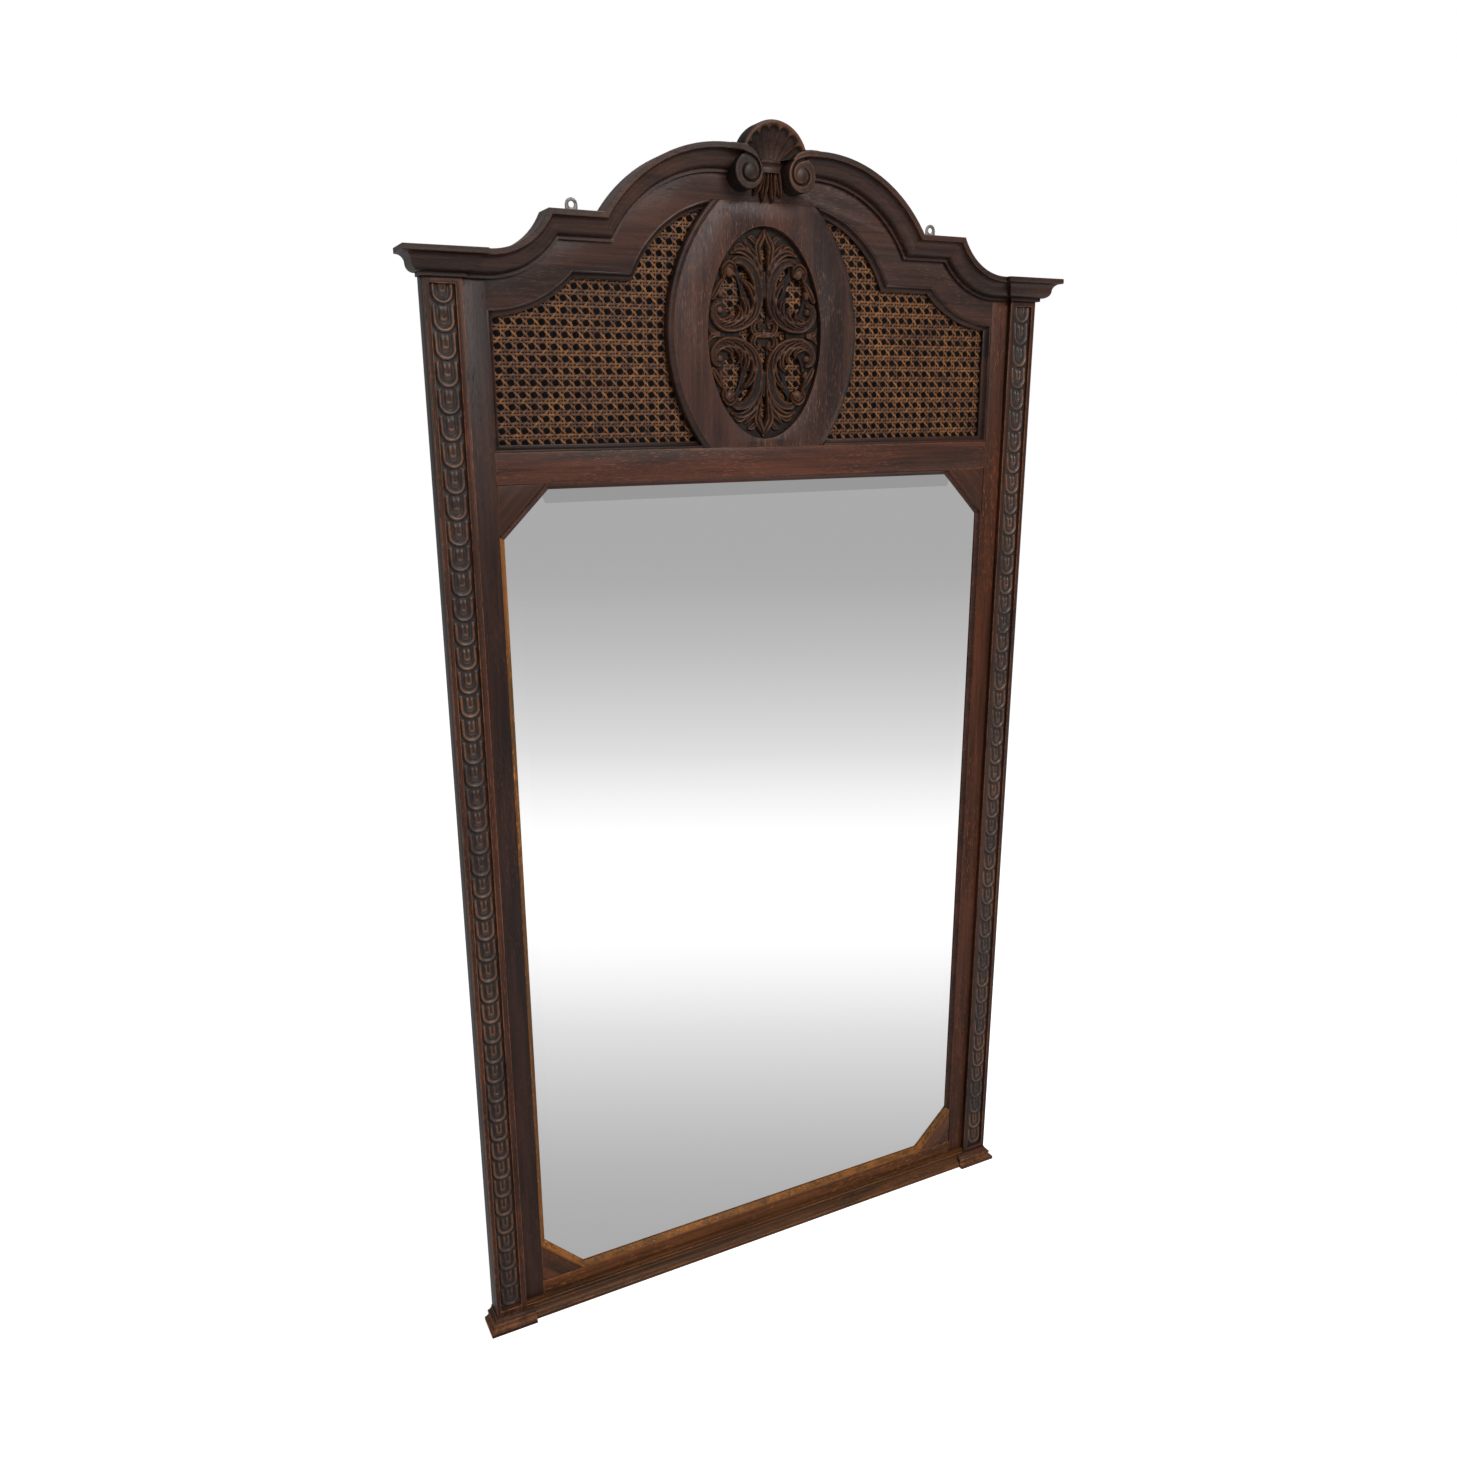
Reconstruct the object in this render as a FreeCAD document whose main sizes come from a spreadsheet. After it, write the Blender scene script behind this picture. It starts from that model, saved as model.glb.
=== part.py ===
import FreeCAD, Part
import Sketcher
import math
import os

# An oak wall mirror with a canted glass below, a caned and carved crest panel above,
# scale-carved pilasters at the sides and a broken-arch cornice with volutes and a shell.
# X runs along the width, -Y faces the room, Z is up. The part stands on its plinths at z = 0.

doc = FreeCAD.newDocument("mirror")
sheet = doc.addObject("Spreadsheet::Sheet", "sizes")

# Driving dimensions in millimetres, and degrees where the name says angle or tilt.
SIZES = [
    # glass opening
    ("sight_width", 700),
    ("sight_height", 1100),
    ("sight_cant", 57),
    ("glazing_width", 7),
    ("glazing_depth", 6.4),
    # frame members
    ("frame_thick", 22),
    ("stile_width", 70),
    ("bottom_rail_high", 49),
    ("mid_rail_high", 37),
    ("rebate_front", 11.7),
    ("rebate_width", 10),
    ("tenon_long", 30),
    ("tenon_thick", 7),
    ("tenon_set", 2.5),
    ("tenon_shoulder", 6),
    ("stub_tenon_long", 8),
    ("fit_gap", 0.2),
    # glass and boards behind it
    ("glass_thick", 5),
    ("glass_gap", 0.3),
    ("bevel_width", 16),
    ("bevel_drop", 0.8),
    ("backboard_thick", 6),
    ("cane_thick", 1),
    ("cane_pitch", 27),
    ("cane_hole", 17),
    ("backing_thick", 5),
    ("board_screw_radius", 1.5),
    ("board_screw_head", 3.2),
    ("board_screw_long", 12),
    # corner blocks
    ("block_set_back", 0.8),
    ("block_gap", 0.3),
    # caned window in the crest
    ("window_side_high", 158),
    ("window_cove_radius", 140),
    ("window_step_up", 45),
    ("window_arch_radius", 150),
    ("window_arch_offset", 45),
    ("window_arch_drop", 60),
    ("window_bead_width", 8),
    ("window_bead_quirk", 0.5),
    ("window_bead_flat", 2.4),
    ("window_bead_lip", 1.1),
    ("window_bead_edge", 4.2),
    ("window_bead_hollow", 0.9),
    # splat and its oval carving
    ("splat_half_width", 135),
    ("splat_side_radius", 223),
    ("splat_high", 290),
    ("splat_middle_up", 137),
    ("splat_bead_width", 8),
    ("splat_bead_round", 4),
    ("oval_width", 162),
    ("oval_high", 254),
    ("carving_ground", 3.6),
    ("carving_relief", 5.4),
    ("carving_gap", 0.3),
    # pilasters
    ("pilaster_width", 43),
    ("pilaster_thick", 7),
    ("channel_edge_outer", 6),
    ("channel_edge_inner", 8),
    ("channel_end", 7),
    ("channel_depth", 5.5),
    ("strip_gap", 0.3),
    ("strip_floor", 1.2),
    ("scale_count", 46),
    ("scale_tilt", 3.4),
    ("scale_lift", 2.4),
    # plinths and base moulding
    ("plinth_high", 21.4),
    ("plinth_step_in", 11),
    ("plinth_foot", 5),
    ("plinth_cove", 6),
    ("plinth_bead", 2.1),
    ("plinth_neck", 4.6),
    ("base_high", 29),
    ("base_foot", 5),
    ("base_cove", 6),
    ("base_bead", 2.4),
    ("base_neck", 5),
    ("moulding_step", 1),
    ("moulding_top", 1.2),
    # cornice
    ("crest_band", 31),
    ("cornice_fillet_out", 4.2),
    ("cornice_fillet_high", 4),
    ("cornice_quirk", 1.2),
    ("cyma_radius", 9.3),
    ("lip_overhang", 1.6),
    ("lip_high", 6.4),
    ("cornice_return", 13.4),
    ("cornice_cove_radius", 106),
    ("cornice_step_rise", 45.5),
    ("cornice_arch_radius", 155.5),
    ("cornice_arch_offset", 65),
    ("cornice_arch_drop", 70.5),
    # volutes
    ("volute_start", 55),
    ("volute_turn_1", 29),
    ("volute_turn_2", 20),
    ("volute_turn_3", 15.5),
    ("volute_turn_4", 13),
    ("volute_turn_5", 10),
    ("volute_turn_6", 8),
    ("volute_turn_7", 6.5),
    ("volute_centre", 46),
    ("volute_band", 7),
    ("volute_sink", 9),
    # shell
    ("shell_radius", 46),
    ("shell_centre_drop", 15.5),
    ("shell_hub", 3),
    ("shell_hub_out", 9),
    ("shell_rim_out", 20),
    ("shell_rim_thick", 9),
    ("shell_back_rise", 26),
    ("flute_deep", 5),
    ("gouge_radius", 8.4),
    ("flutes_each_side", 3),
    ("flute_pitch_angle", 22),
    ("collar_width", 26),
    ("collar_high", 11),
    ("collar_out", 25),
    ("leaf_long", 35),
    ("leaf_out", 10),
    ("leaf_half_width", 22),
    # hanging eyes
    ("eye_shift", 4),
    ("eye_inset", 2),
    ("eye_plate_thick", 1.5),
    ("eye_ring_radius", 7.5),
    ("eye_hole_radius", 3.5),
    ("eye_rise", 11),
    ("eye_plate_long", 34),
    ("eye_screw_radius", 1.5),
    ("eye_screw_head", 3),
    ("eye_screw_long", 10),
    ("screw_head_high", 0.9),
]
for row, (name, size) in enumerate(SIZES, start=1):
    sheet.set("A%d" % row, name)
    sheet.set("B%d" % row, str(size))
    sheet.setAlias("B%d" % row, name)
doc.recompute()


def value(expression):
    """The number that an expression on the sheet comes to."""
    result = sheet.evalExpression(str(expression))
    return float(getattr(result, "Value", result))


# Places worked out from the driving dimensions, as expressions on the sheet.
CORNICE_OUT = "(%s)" % " + ".join((
    "sizes.cornice_fillet_out", "sizes.cornice_quirk", "2 * sizes.cyma_radius", "sizes.lip_overhang"))
CORNICE_HIGH = "(sizes.cornice_fillet_high + 2 * sizes.cyma_radius + sizes.lip_high)"
FACE = "((sizes.pilaster_thick + %s - sizes.frame_thick) / 2)" % CORNICE_OUT
BACK = "(%s + sizes.frame_thick)" % FACE
REBATE = "(%s + sizes.rebate_front)" % FACE
PILASTER_FRONT = "(%s - sizes.pilaster_thick)" % FACE

STILE_IN = "(sizes.sight_width / 2 + sizes.glazing_width)"
STILE_OUT = "(%s + sizes.stile_width)" % STILE_IN
PILASTER_IN = "(%s - sizes.pilaster_width)" % STILE_OUT

OPENING_LOW = "sizes.bottom_rail_high"
OPENING_TOP = "(sizes.bottom_rail_high + sizes.sight_height + 2 * sizes.glazing_width)"
SIGHT_LOW = "(sizes.bottom_rail_high + sizes.glazing_width)"
SIGHT_TOP = "(%s + sizes.sight_height)" % SIGHT_LOW
RAIL_TOP = "(%s + sizes.mid_rail_high)" % OPENING_TOP

COVE_LOW = "(%s + sizes.window_side_high)" % RAIL_TOP
COVE_CENTRE = "(%s + sizes.window_cove_radius)" % COVE_LOW
STEP_Z = "(%s + sizes.window_step_up)" % COVE_LOW
ARCH_CENTRE = "(%s - sizes.window_arch_drop)" % STEP_Z
SPLAT_TOP = "(%s + sizes.splat_high)" % RAIL_TOP
SPLAT_MIDDLE = "(%s + sizes.splat_middle_up)" % RAIL_TOP
SPLAT_CENTRE_X = "(sizes.splat_half_width - sizes.splat_side_radius)"

CORNICE_LOW = "(%s + sizes.crest_band)" % COVE_LOW
CORNICE_TOP = "(%s + %s)" % (CORNICE_LOW, CORNICE_HIGH)
CORNICE_COVE_Z = "(%s + sizes.cornice_cove_radius)" % CORNICE_LOW
CORNICE_STEP_LOW = "(%s + sizes.cornice_step_rise)" % CORNICE_LOW
CORNICE_ARCH_Z = "(%s - sizes.cornice_arch_drop)" % CORNICE_STEP_LOW
CREST_TOP = "(%s + sizes.cornice_arch_radius + %s)" % (CORNICE_ARCH_Z, CORNICE_HIGH)
SHELL_Z = "(%s - sizes.shell_centre_drop)" % CREST_TOP


def plus(*terms):
    """A sum of expressions."""
    return "(" + " + ".join(str(term) for term in terms) + ")"


def minus(first, *rest):
    """The first expression less the others."""
    return "(" + " - ".join(str(term) for term in (first,) + rest) + ")"


def leg(hypotenuse, other):
    """The third side of a right triangle, as an expression."""
    return "sqrt((%s) ^ 2 - (%s) ^ 2)" % (hypotenuse, other)


def new_body(label):
    body = doc.addObject("PartDesign::Body", label)
    body.Label = label
    return body


def new_sketch(body, plane, height="0", origin=None, tilt=None):
    """A sketch on one of the body's own planes, moved along the plane's normal by height."""
    sketch = body.newObject("Sketcher::SketchObject", "Sketch")
    base = [feature for feature in body.Origin.OriginFeatures if feature.Role == plane][0]
    sketch.AttachmentSupport = (base, [""])
    sketch.MapMode = "FlatFace"
    if tilt:
        turn = FreeCAD.Rotation(FreeCAD.Vector(1, 0, 0), value(tilt))
        sketch.AttachmentOffset = FreeCAD.Placement(FreeCAD.Vector(0, 0, 0), turn)
        sketch.setExpression(".AttachmentOffset.Rotation.Angle", tilt)
    sketch.setExpression(".AttachmentOffset.Base.z", height)
    if origin:
        sketch.setExpression(".AttachmentOffset.Base.x", origin[0])
        sketch.setExpression(".AttachmentOffset.Base.y", origin[1])
    return sketch


def front_sketch(body, y):
    """A sketch seen from the front, x across and z up, at the depth y."""
    return new_sketch(body, "XZ_Plane", "-(%s)" % y)


def bind(sketch, kind, *place_and_expression):
    """A dimension in the sketch, held by an expression."""
    place = place_and_expression[:-1]
    expression = place_and_expression[-1]
    index = sketch.addConstraint(Sketcher.Constraint(kind, *place, value(expression)))
    sketch.setExpression("Constraints[%d]" % index, str(expression))


def arc_between(start, end, radius, turn):
    """The shorter arc from start to end, bending left or right as it is followed."""
    middle = (start + end) * 0.5
    half = (end - start) * 0.5
    rise = math.sqrt(max(radius ** 2 - half.Length ** 2, 0))
    side = FreeCAD.Vector(-half.y, half.x, 0)
    side.normalize()
    if turn == "right":
        side = -side
    centre = middle + side * rise
    first, last = (start, end) if turn == "left" else (end, start)
    angle_1 = math.atan2(first.y - centre.y, first.x - centre.x)
    angle_2 = math.atan2(last.y - centre.y, last.x - centre.x)
    circle = Part.Circle(centre, FreeCAD.Vector(0, 0, 1), radius)
    return Part.ArcOfCircle(circle, angle_1, angle_2)


def outline(sketch, corners):
    """A closed outline. A corner is (x, y), or (x, y, radius, turn) where an arc leaves it."""
    places = [FreeCAD.Vector(value(corner[0]), value(corner[1]), 0) for corner in corners]
    edges = []
    for index, corner in enumerate(corners):
        start = places[index]
        end = places[(index + 1) % len(places)]
        if len(corner) > 2:
            shape = arc_between(start, end, value(corner[2]), corner[3])
            edge = sketch.addGeometry(shape, False)
            edges.append((edge, 1, 2) if corner[3] == "left" else (edge, 2, 1))
        else:
            edge = sketch.addGeometry(Part.LineSegment(start, end), False)
            edges.append((edge, 1, 2))
    for index, corner in enumerate(corners):
        edge, start, end = edges[index]
        following = edges[(index + 1) % len(edges)]
        sketch.addConstraint(Sketcher.Constraint("Coincident", edge, end, following[0], following[1]))
        bind(sketch, "DistanceX", edge, start, corner[0])
        bind(sketch, "DistanceY", edge, start, corner[1])
        if len(corner) > 2:
            bind(sketch, "Radius", edge, corner[2])


def flats(x, y, radius, first, last, count=2, radius_up=None):
    """Places along an arc about x and y, from one angle to another, for an outline of flats."""
    places = []
    for step in range(count + 1):
        angle = first + (last - first) * step / count
        places.append((plus(x, "%s * cos(%g deg)" % (radius, angle)),
                       plus(y, "%s * sin(%g deg)" % (radius_up or radius, angle))))
    return places


def rectangle(sketch, x_1, y_1, x_2, y_2):
    outline(sketch, [(x_1, y_1), (x_2, y_1), (x_2, y_2), (x_1, y_2)])


def circle(sketch, x, y, radius):
    centre = FreeCAD.Vector(value(x), value(y), 0)
    edge = sketch.addGeometry(Part.Circle(centre, FreeCAD.Vector(0, 0, 1), value(radius)), False)
    bind(sketch, "DistanceX", edge, 3, x)
    bind(sketch, "DistanceY", edge, 3, y)
    bind(sketch, "Radius", edge, radius)


def ellipse(sketch, x, y, half_width, half_high):
    """An upright ellipse, taller than it is wide."""
    centre = FreeCAD.Vector(value(x), value(y), 0)
    top = centre + FreeCAD.Vector(0, value(half_high), 0)
    side = centre + FreeCAD.Vector(value(half_width), 0, 0)
    edge = sketch.addGeometry(Part.Ellipse(top, side, centre), False)
    sketch.exposeInternalGeometry(edge)
    bind(sketch, "DistanceX", edge, 3, x)
    bind(sketch, "DistanceY", edge, 3, y)
    sketch.addConstraint(Sketcher.Constraint("Vertical", edge + 1))
    bind(sketch, "Distance", edge + 1, "2 * (%s)" % half_high)
    bind(sketch, "Distance", edge + 2, "2 * (%s)" % half_width)


def pad(body, sketch, length, reverse=False):
    feature = body.newObject("PartDesign::Pad", "Pad")
    feature.Profile = sketch
    feature.setExpression("Length", length)
    feature.Reversed = reverse
    doc.recompute()
    return feature


def pocket(body, sketch, length, reverse=False):
    """Cut the sketch into the body and check that it took something away."""
    before = body.Shape.Volume
    feature = body.newObject("PartDesign::Pocket", "Pocket")
    feature.Profile = sketch
    feature.setExpression("Length", length)
    feature.Reversed = reverse
    doc.recompute()
    if not body.Shape.Volume < before - 1e-3:
        raise RuntimeError("a pocket cut nothing in " + body.Label)
    return feature


def revolve(body, sketch, axis, angle, symmetric=False, reverse=False):
    feature = body.newObject("PartDesign::Revolution", "Revolution")
    feature.Profile = sketch
    feature.ReferenceAxis = (sketch, [axis])
    feature.setExpression("Angle", angle)
    feature.Midplane = symmetric
    feature.Reversed = reverse
    doc.recompute()
    return feature


def board(label, corners, back, thick):
    """A flat board seen from the front, grown forwards from its back."""
    body = new_body(label)
    sketch = front_sketch(body, back)
    outline(sketch, corners)
    pad(body, sketch, thick)
    return body


def mirrored(label, source):
    """The piece of the other side."""
    copy = doc.addObject("Part::Mirroring", label)
    copy.Label = label
    copy.Source = source
    copy.Normal = FreeCAD.Vector(1, 0, 0)
    copy.Base = FreeCAD.Vector(0, 0, 0)
    return copy


def cut_front(body, corners, front, depth):
    """A pocket drawn from the front."""
    sketch = front_sketch(body, front)
    outline(sketch, corners)
    pocket(body, sketch, depth)


def cut_ahead(body, corners):
    """Cut an outline right through a piece, from well in front of it to well behind."""
    front = minus(FACE, "sizes.pilaster_thick", CORNICE_OUT, 5)
    cut_front(body, corners, front, plus("sizes.frame_thick", "sizes.pilaster_thick", CORNICE_OUT, 20))


# Frame members

def board_screw_places():
    """Screw places round the backboard, as x and z expressions, on the right half."""
    side_x = plus(STILE_IN, "sizes.rebate_width / 2")
    places = []
    for share in ("0.15", "0.85"):
        places.append((side_x, plus(OPENING_LOW, "%s * (%s - %s)" % (share, OPENING_TOP, OPENING_LOW))))
    return places


def tenon(body, low, top):
    """A tenon past the shoulder of a rail at x = STILE_IN, from its own low to top."""
    sketch = new_sketch(body, "YZ_Plane", STILE_IN)
    front = plus(FACE, "sizes.tenon_set")
    rectangle(sketch, front, low, plus(front, "sizes.tenon_thick"), top)
    pad(body, sketch, "sizes.tenon_long")
    sketch = new_sketch(body, "YZ_Plane", "-" + STILE_IN)
    rectangle(sketch, front, low, plus(front, "sizes.tenon_thick"), top)
    pad(body, sketch, "sizes.tenon_long", reverse=True)


def mortise(body, low, top):
    """The matching mortise in the right stile, a fit gap larger all round."""
    sketch = new_sketch(body, "YZ_Plane", STILE_IN)
    front = minus(plus(FACE, "sizes.tenon_set"), "sizes.fit_gap")
    back = plus(front, "sizes.tenon_thick", "2 * sizes.fit_gap")
    rectangle(sketch, front, minus(low, "sizes.fit_gap"), back, plus(top, "sizes.fit_gap"))
    pocket(body, sketch, plus("sizes.tenon_long", "sizes.fit_gap"), reverse=True)


BOTTOM_TENON = ("sizes.tenon_shoulder", minus(OPENING_LOW, "sizes.tenon_shoulder"))
MID_TENON = (plus(OPENING_TOP, "sizes.tenon_shoulder"), minus(RAIL_TOP, "sizes.tenon_shoulder"))
CREST_TENON = (plus(COVE_LOW, "sizes.tenon_shoulder"), minus(CORNICE_TOP, "2 * sizes.tenon_shoulder"))


def make_stiles():
    stile = board("stile_right", [
        (STILE_IN, "0"), (STILE_OUT, "0"), (STILE_OUT, CORNICE_TOP), (STILE_IN, CORNICE_TOP)],
        BACK, "sizes.frame_thick")
    # rebates for the backboard and for the cane and its backing, cut from behind
    edge = plus(STILE_IN, "sizes.rebate_width")
    depth = minus("sizes.frame_thick", "sizes.rebate_front")
    for low, top in (
            (minus(OPENING_LOW, "sizes.rebate_width"), plus(OPENING_TOP, "sizes.rebate_width")),
            (minus(RAIL_TOP, "sizes.rebate_width"), plus(COVE_LOW, "sizes.rebate_width"))):
        cut_front(stile, [(STILE_IN, low), (edge, low), (edge, top), (STILE_IN, top)],
                  REBATE, plus(depth, 5))
    for low, top in (BOTTOM_TENON, MID_TENON, CREST_TENON):
        mortise(stile, low, top)
    sketch = front_sketch(stile, minus(REBATE, minus("sizes.board_screw_long", "sizes.backboard_thick")))
    for x, z in board_screw_places():
        circle(sketch, x, z, "sizes.board_screw_radius")
    pocket(stile, sketch, "sizes.board_screw_long")
    return [stile, mirrored("stile_left", stile)]


def make_rails():
    bottom = board("bottom_rail", [
        ("-" + STILE_IN, "0"), (STILE_IN, "0"), (STILE_IN, OPENING_LOW), ("-" + STILE_IN, OPENING_LOW)],
        BACK, "sizes.frame_thick")
    depth = plus(minus("sizes.frame_thick", "sizes.rebate_front"), 5)
    cut_front(bottom, [
        ("-(%s + 1)" % STILE_IN, minus(OPENING_LOW, "sizes.rebate_width")),
        (plus(STILE_IN, 1), minus(OPENING_LOW, "sizes.rebate_width")),
        (plus(STILE_IN, 1), plus(OPENING_LOW, 1)),
        ("-(%s + 1)" % STILE_IN, plus(OPENING_LOW, 1))], REBATE, depth)
    tenon(bottom, *BOTTOM_TENON)

    middle = board("mid_rail", [
        ("-" + STILE_IN, OPENING_TOP), (STILE_IN, OPENING_TOP), (STILE_IN, RAIL_TOP),
        ("-" + STILE_IN, RAIL_TOP)], BACK, "sizes.frame_thick")
    for low, top in ((minus(OPENING_TOP, 1), plus(OPENING_TOP, "sizes.rebate_width")),
                     (minus(RAIL_TOP, "sizes.rebate_width"), plus(RAIL_TOP, 1))):
        cut_front(middle, [
            ("-(%s + 1)" % STILE_IN, low), (plus(STILE_IN, 1), low), (plus(STILE_IN, 1), top),
            ("-(%s + 1)" % STILE_IN, top)], REBATE, depth)
    # mortise for the splat's stub tenon
    sketch = new_sketch(middle, "XY_Plane", RAIL_TOP)
    half = plus(stub_half_width(), "sizes.fit_gap")
    front = minus(plus(FACE, "sizes.tenon_set"), "sizes.fit_gap")
    rectangle(sketch, "-" + half, front, half, plus(front, "sizes.tenon_thick", "2 * sizes.fit_gap"))
    pocket(middle, sketch, plus("sizes.stub_tenon_long", "sizes.fit_gap"))
    tenon(middle, *MID_TENON)
    return [bottom, middle]


# Caned window in the crest. "grow" widens the outline into the wood all round.

def cove_x(radius, rise_from_centre):
    return minus(STILE_IN, leg(radius, rise_from_centre))


def window_step_x(grow="0"):
    """Where the cove meets the level step, for an outline grown by grow."""
    radius = minus("sizes.window_cove_radius", grow)
    return cove_x(radius, minus(radius, "sizes.window_step_up"))


def window_arch_x(grow="0"):
    """Where the level step meets the arch."""
    radius = plus("sizes.window_arch_radius", grow)
    return plus("sizes.window_arch_offset", leg(radius, plus("sizes.window_arch_drop", grow)))


def splat_x(z, inset="0"):
    """Half the splat's width at the height z, less an inset for the bead."""
    radius = minus("sizes.splat_side_radius", inset)
    return plus(SPLAT_CENTRE_X, leg(radius, minus(z, SPLAT_MIDDLE)))


def stub_half_width():
    return minus(splat_x(RAIL_TOP, "sizes.splat_bead_width"), "2 * sizes.tenon_shoulder")


def window_joint_x():
    """Where the arch meets the joint between crest board and splat."""
    return plus("sizes.window_arch_offset", leg("sizes.window_arch_radius", minus(SPLAT_TOP, ARCH_CENTRE)))


def grown_window(grow):
    """The window's whole outline, both sides as one, grown into the wood by grow."""
    side = plus(STILE_IN, grow)
    low = minus(RAIL_TOP, grow)
    cove_low = plus(COVE_LOW, grow)
    step = plus(STEP_Z, grow)
    cove_radius = minus("sizes.window_cove_radius", grow)
    arch_radius = plus("sizes.window_arch_radius", grow)
    top = plus(ARCH_CENTRE, arch_radius)
    right = [
        (side, low), (side, cove_low), (STILE_IN, cove_low, cove_radius, "right"),
        (window_step_x(grow), step), (window_arch_x(grow), step, arch_radius, "left"),
        ("sizes.window_arch_offset", top)]
    left = [
        ("-sizes.window_arch_offset", top, arch_radius, "left"), ("-" + window_arch_x(grow), step),
        ("-" + window_step_x(grow), step, cove_radius, "right"), ("-" + STILE_IN, cove_low),
        ("-" + side, cove_low), ("-" + side, low)]
    return right + left


def cornice_step_x(high="0"):
    """Where the cornice's cove meets its step, at a height above the moulding's lower edge."""
    radius = minus("sizes.cornice_cove_radius", high)
    return minus(STILE_IN, leg(radius, minus(radius, "sizes.cornice_step_rise")))


def cornice_arch_x(high="0"):
    """Where the cornice's step meets its arch."""
    radius = plus("sizes.cornice_arch_radius", high)
    return plus("sizes.cornice_arch_offset", leg(radius, plus("sizes.cornice_arch_drop", high)))


VOLUTE_Z = "(%s - sizes.volute_turn_1)" % CREST_TOP
# where the crest board's own edge leaves the volute's turn and runs level behind the shell
CREST_NOTCH_X = "(sizes.volute_centre - 0.75 * sizes.volute_turn_1)"
CREST_NOTCH_Z = "(%s + %s)" % (VOLUTE_Z, leg("sizes.volute_turn_1", "0.75 * sizes.volute_turn_1"))


EYE_Z = "(%s + %s + sizes.eye_rise)" % (CORNICE_STEP_LOW, CORNICE_HIGH)
STEP_MIDDLE = "((%s + %s) / 2)" % (cornice_step_x(CORNICE_HIGH), cornice_arch_x(CORNICE_HIGH))
# the two eyes were set by hand, both a little to the right
EYE_APART = minus(STEP_MIDDLE, "sizes.eye_inset")
EYE_X = [minus("sizes.eye_shift", EYE_APART), plus("sizes.eye_shift", EYE_APART)]


def eye_screw_heights():
    """The two screw places down each hanging eye's plate."""
    return [minus(EYE_Z, "0.6 * sizes.eye_plate_long"), minus(EYE_Z, "0.88 * sizes.eye_plate_long")]


def make_crest_board():
    step_top = plus(CORNICE_STEP_LOW, CORNICE_HIGH)
    cove_top = minus("sizes.cornice_cove_radius", CORNICE_HIGH)
    arch_top = plus("sizes.cornice_arch_radius", CORNICE_HIGH)
    right_up = [
        (window_joint_x(), SPLAT_TOP, "sizes.window_arch_radius", "right"),
        (window_arch_x(), STEP_Z),
        (window_step_x(), STEP_Z, "sizes.window_cove_radius", "left"),
        (STILE_IN, COVE_LOW),
        (STILE_IN, CORNICE_TOP, cove_top, "right"),
        (cornice_step_x(CORNICE_HIGH), step_top),
        (cornice_arch_x(CORNICE_HIGH), step_top, arch_top, "left"),
        ("sizes.cornice_arch_offset", CREST_TOP),
        ("sizes.volute_centre", CREST_TOP, "sizes.volute_turn_1", "left"),
        (CREST_NOTCH_X, CREST_NOTCH_Z)]
    left_down = [
        ("-" + CREST_NOTCH_X, CREST_NOTCH_Z, "sizes.volute_turn_1", "left"),
        ("-sizes.volute_centre", CREST_TOP),
        ("-sizes.cornice_arch_offset", CREST_TOP, arch_top, "left"),
        ("-" + cornice_arch_x(CORNICE_HIGH), step_top),
        ("-" + cornice_step_x(CORNICE_HIGH), step_top, cove_top, "right"),
        ("-" + STILE_IN, CORNICE_TOP),
        ("-" + STILE_IN, COVE_LOW, "sizes.window_cove_radius", "left"),
        ("-" + window_step_x(), STEP_Z),
        ("-" + window_arch_x(), STEP_Z, "sizes.window_arch_radius", "right"),
        ("-" + window_joint_x(), SPLAT_TOP)]
    crest = board("crest_board", right_up + left_down, REBATE, "sizes.rebate_front")
    tenon(crest, *CREST_TENON)
    # pilot holes for the hanging eyes, from behind
    deep = minus("sizes.eye_screw_long", "sizes.eye_plate_thick")
    sketch = front_sketch(crest, minus(REBATE, deep))
    for x in EYE_X:
        for z in eye_screw_heights():
            circle(sketch, x, z, "sizes.eye_screw_radius")
    pocket(crest, sketch, plus(deep, 5))
    return [crest]


def make_splat():
    inset = "sizes.splat_bead_width"
    radius = minus("sizes.splat_side_radius", inset)
    low_x = splat_x(RAIL_TOP, inset)
    top_x = splat_x(SPLAT_TOP, inset)
    splat = board("splat", [
        ("-" + low_x, RAIL_TOP), (low_x, RAIL_TOP, radius, "left"), (top_x, SPLAT_TOP),
        ("-" + top_x, SPLAT_TOP, radius, "left")], REBATE, "sizes.rebate_front")
    sketch = front_sketch(splat, FACE)
    ellipse(sketch, "0", SPLAT_MIDDLE, "sizes.oval_width / 2", "sizes.oval_high / 2")
    pocket(splat, sketch, plus("sizes.rebate_front", 2))
    # stub tenon into the mid rail
    sketch = new_sketch(splat, "XY_Plane", RAIL_TOP)
    front = plus(FACE, "sizes.tenon_set")
    half = stub_half_width()
    rectangle(sketch, "-" + half, front, half, plus(front, "sizes.tenon_thick"))
    pad(splat, sketch, "sizes.stub_tenon_long", reverse=True)
    return [splat]


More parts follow.
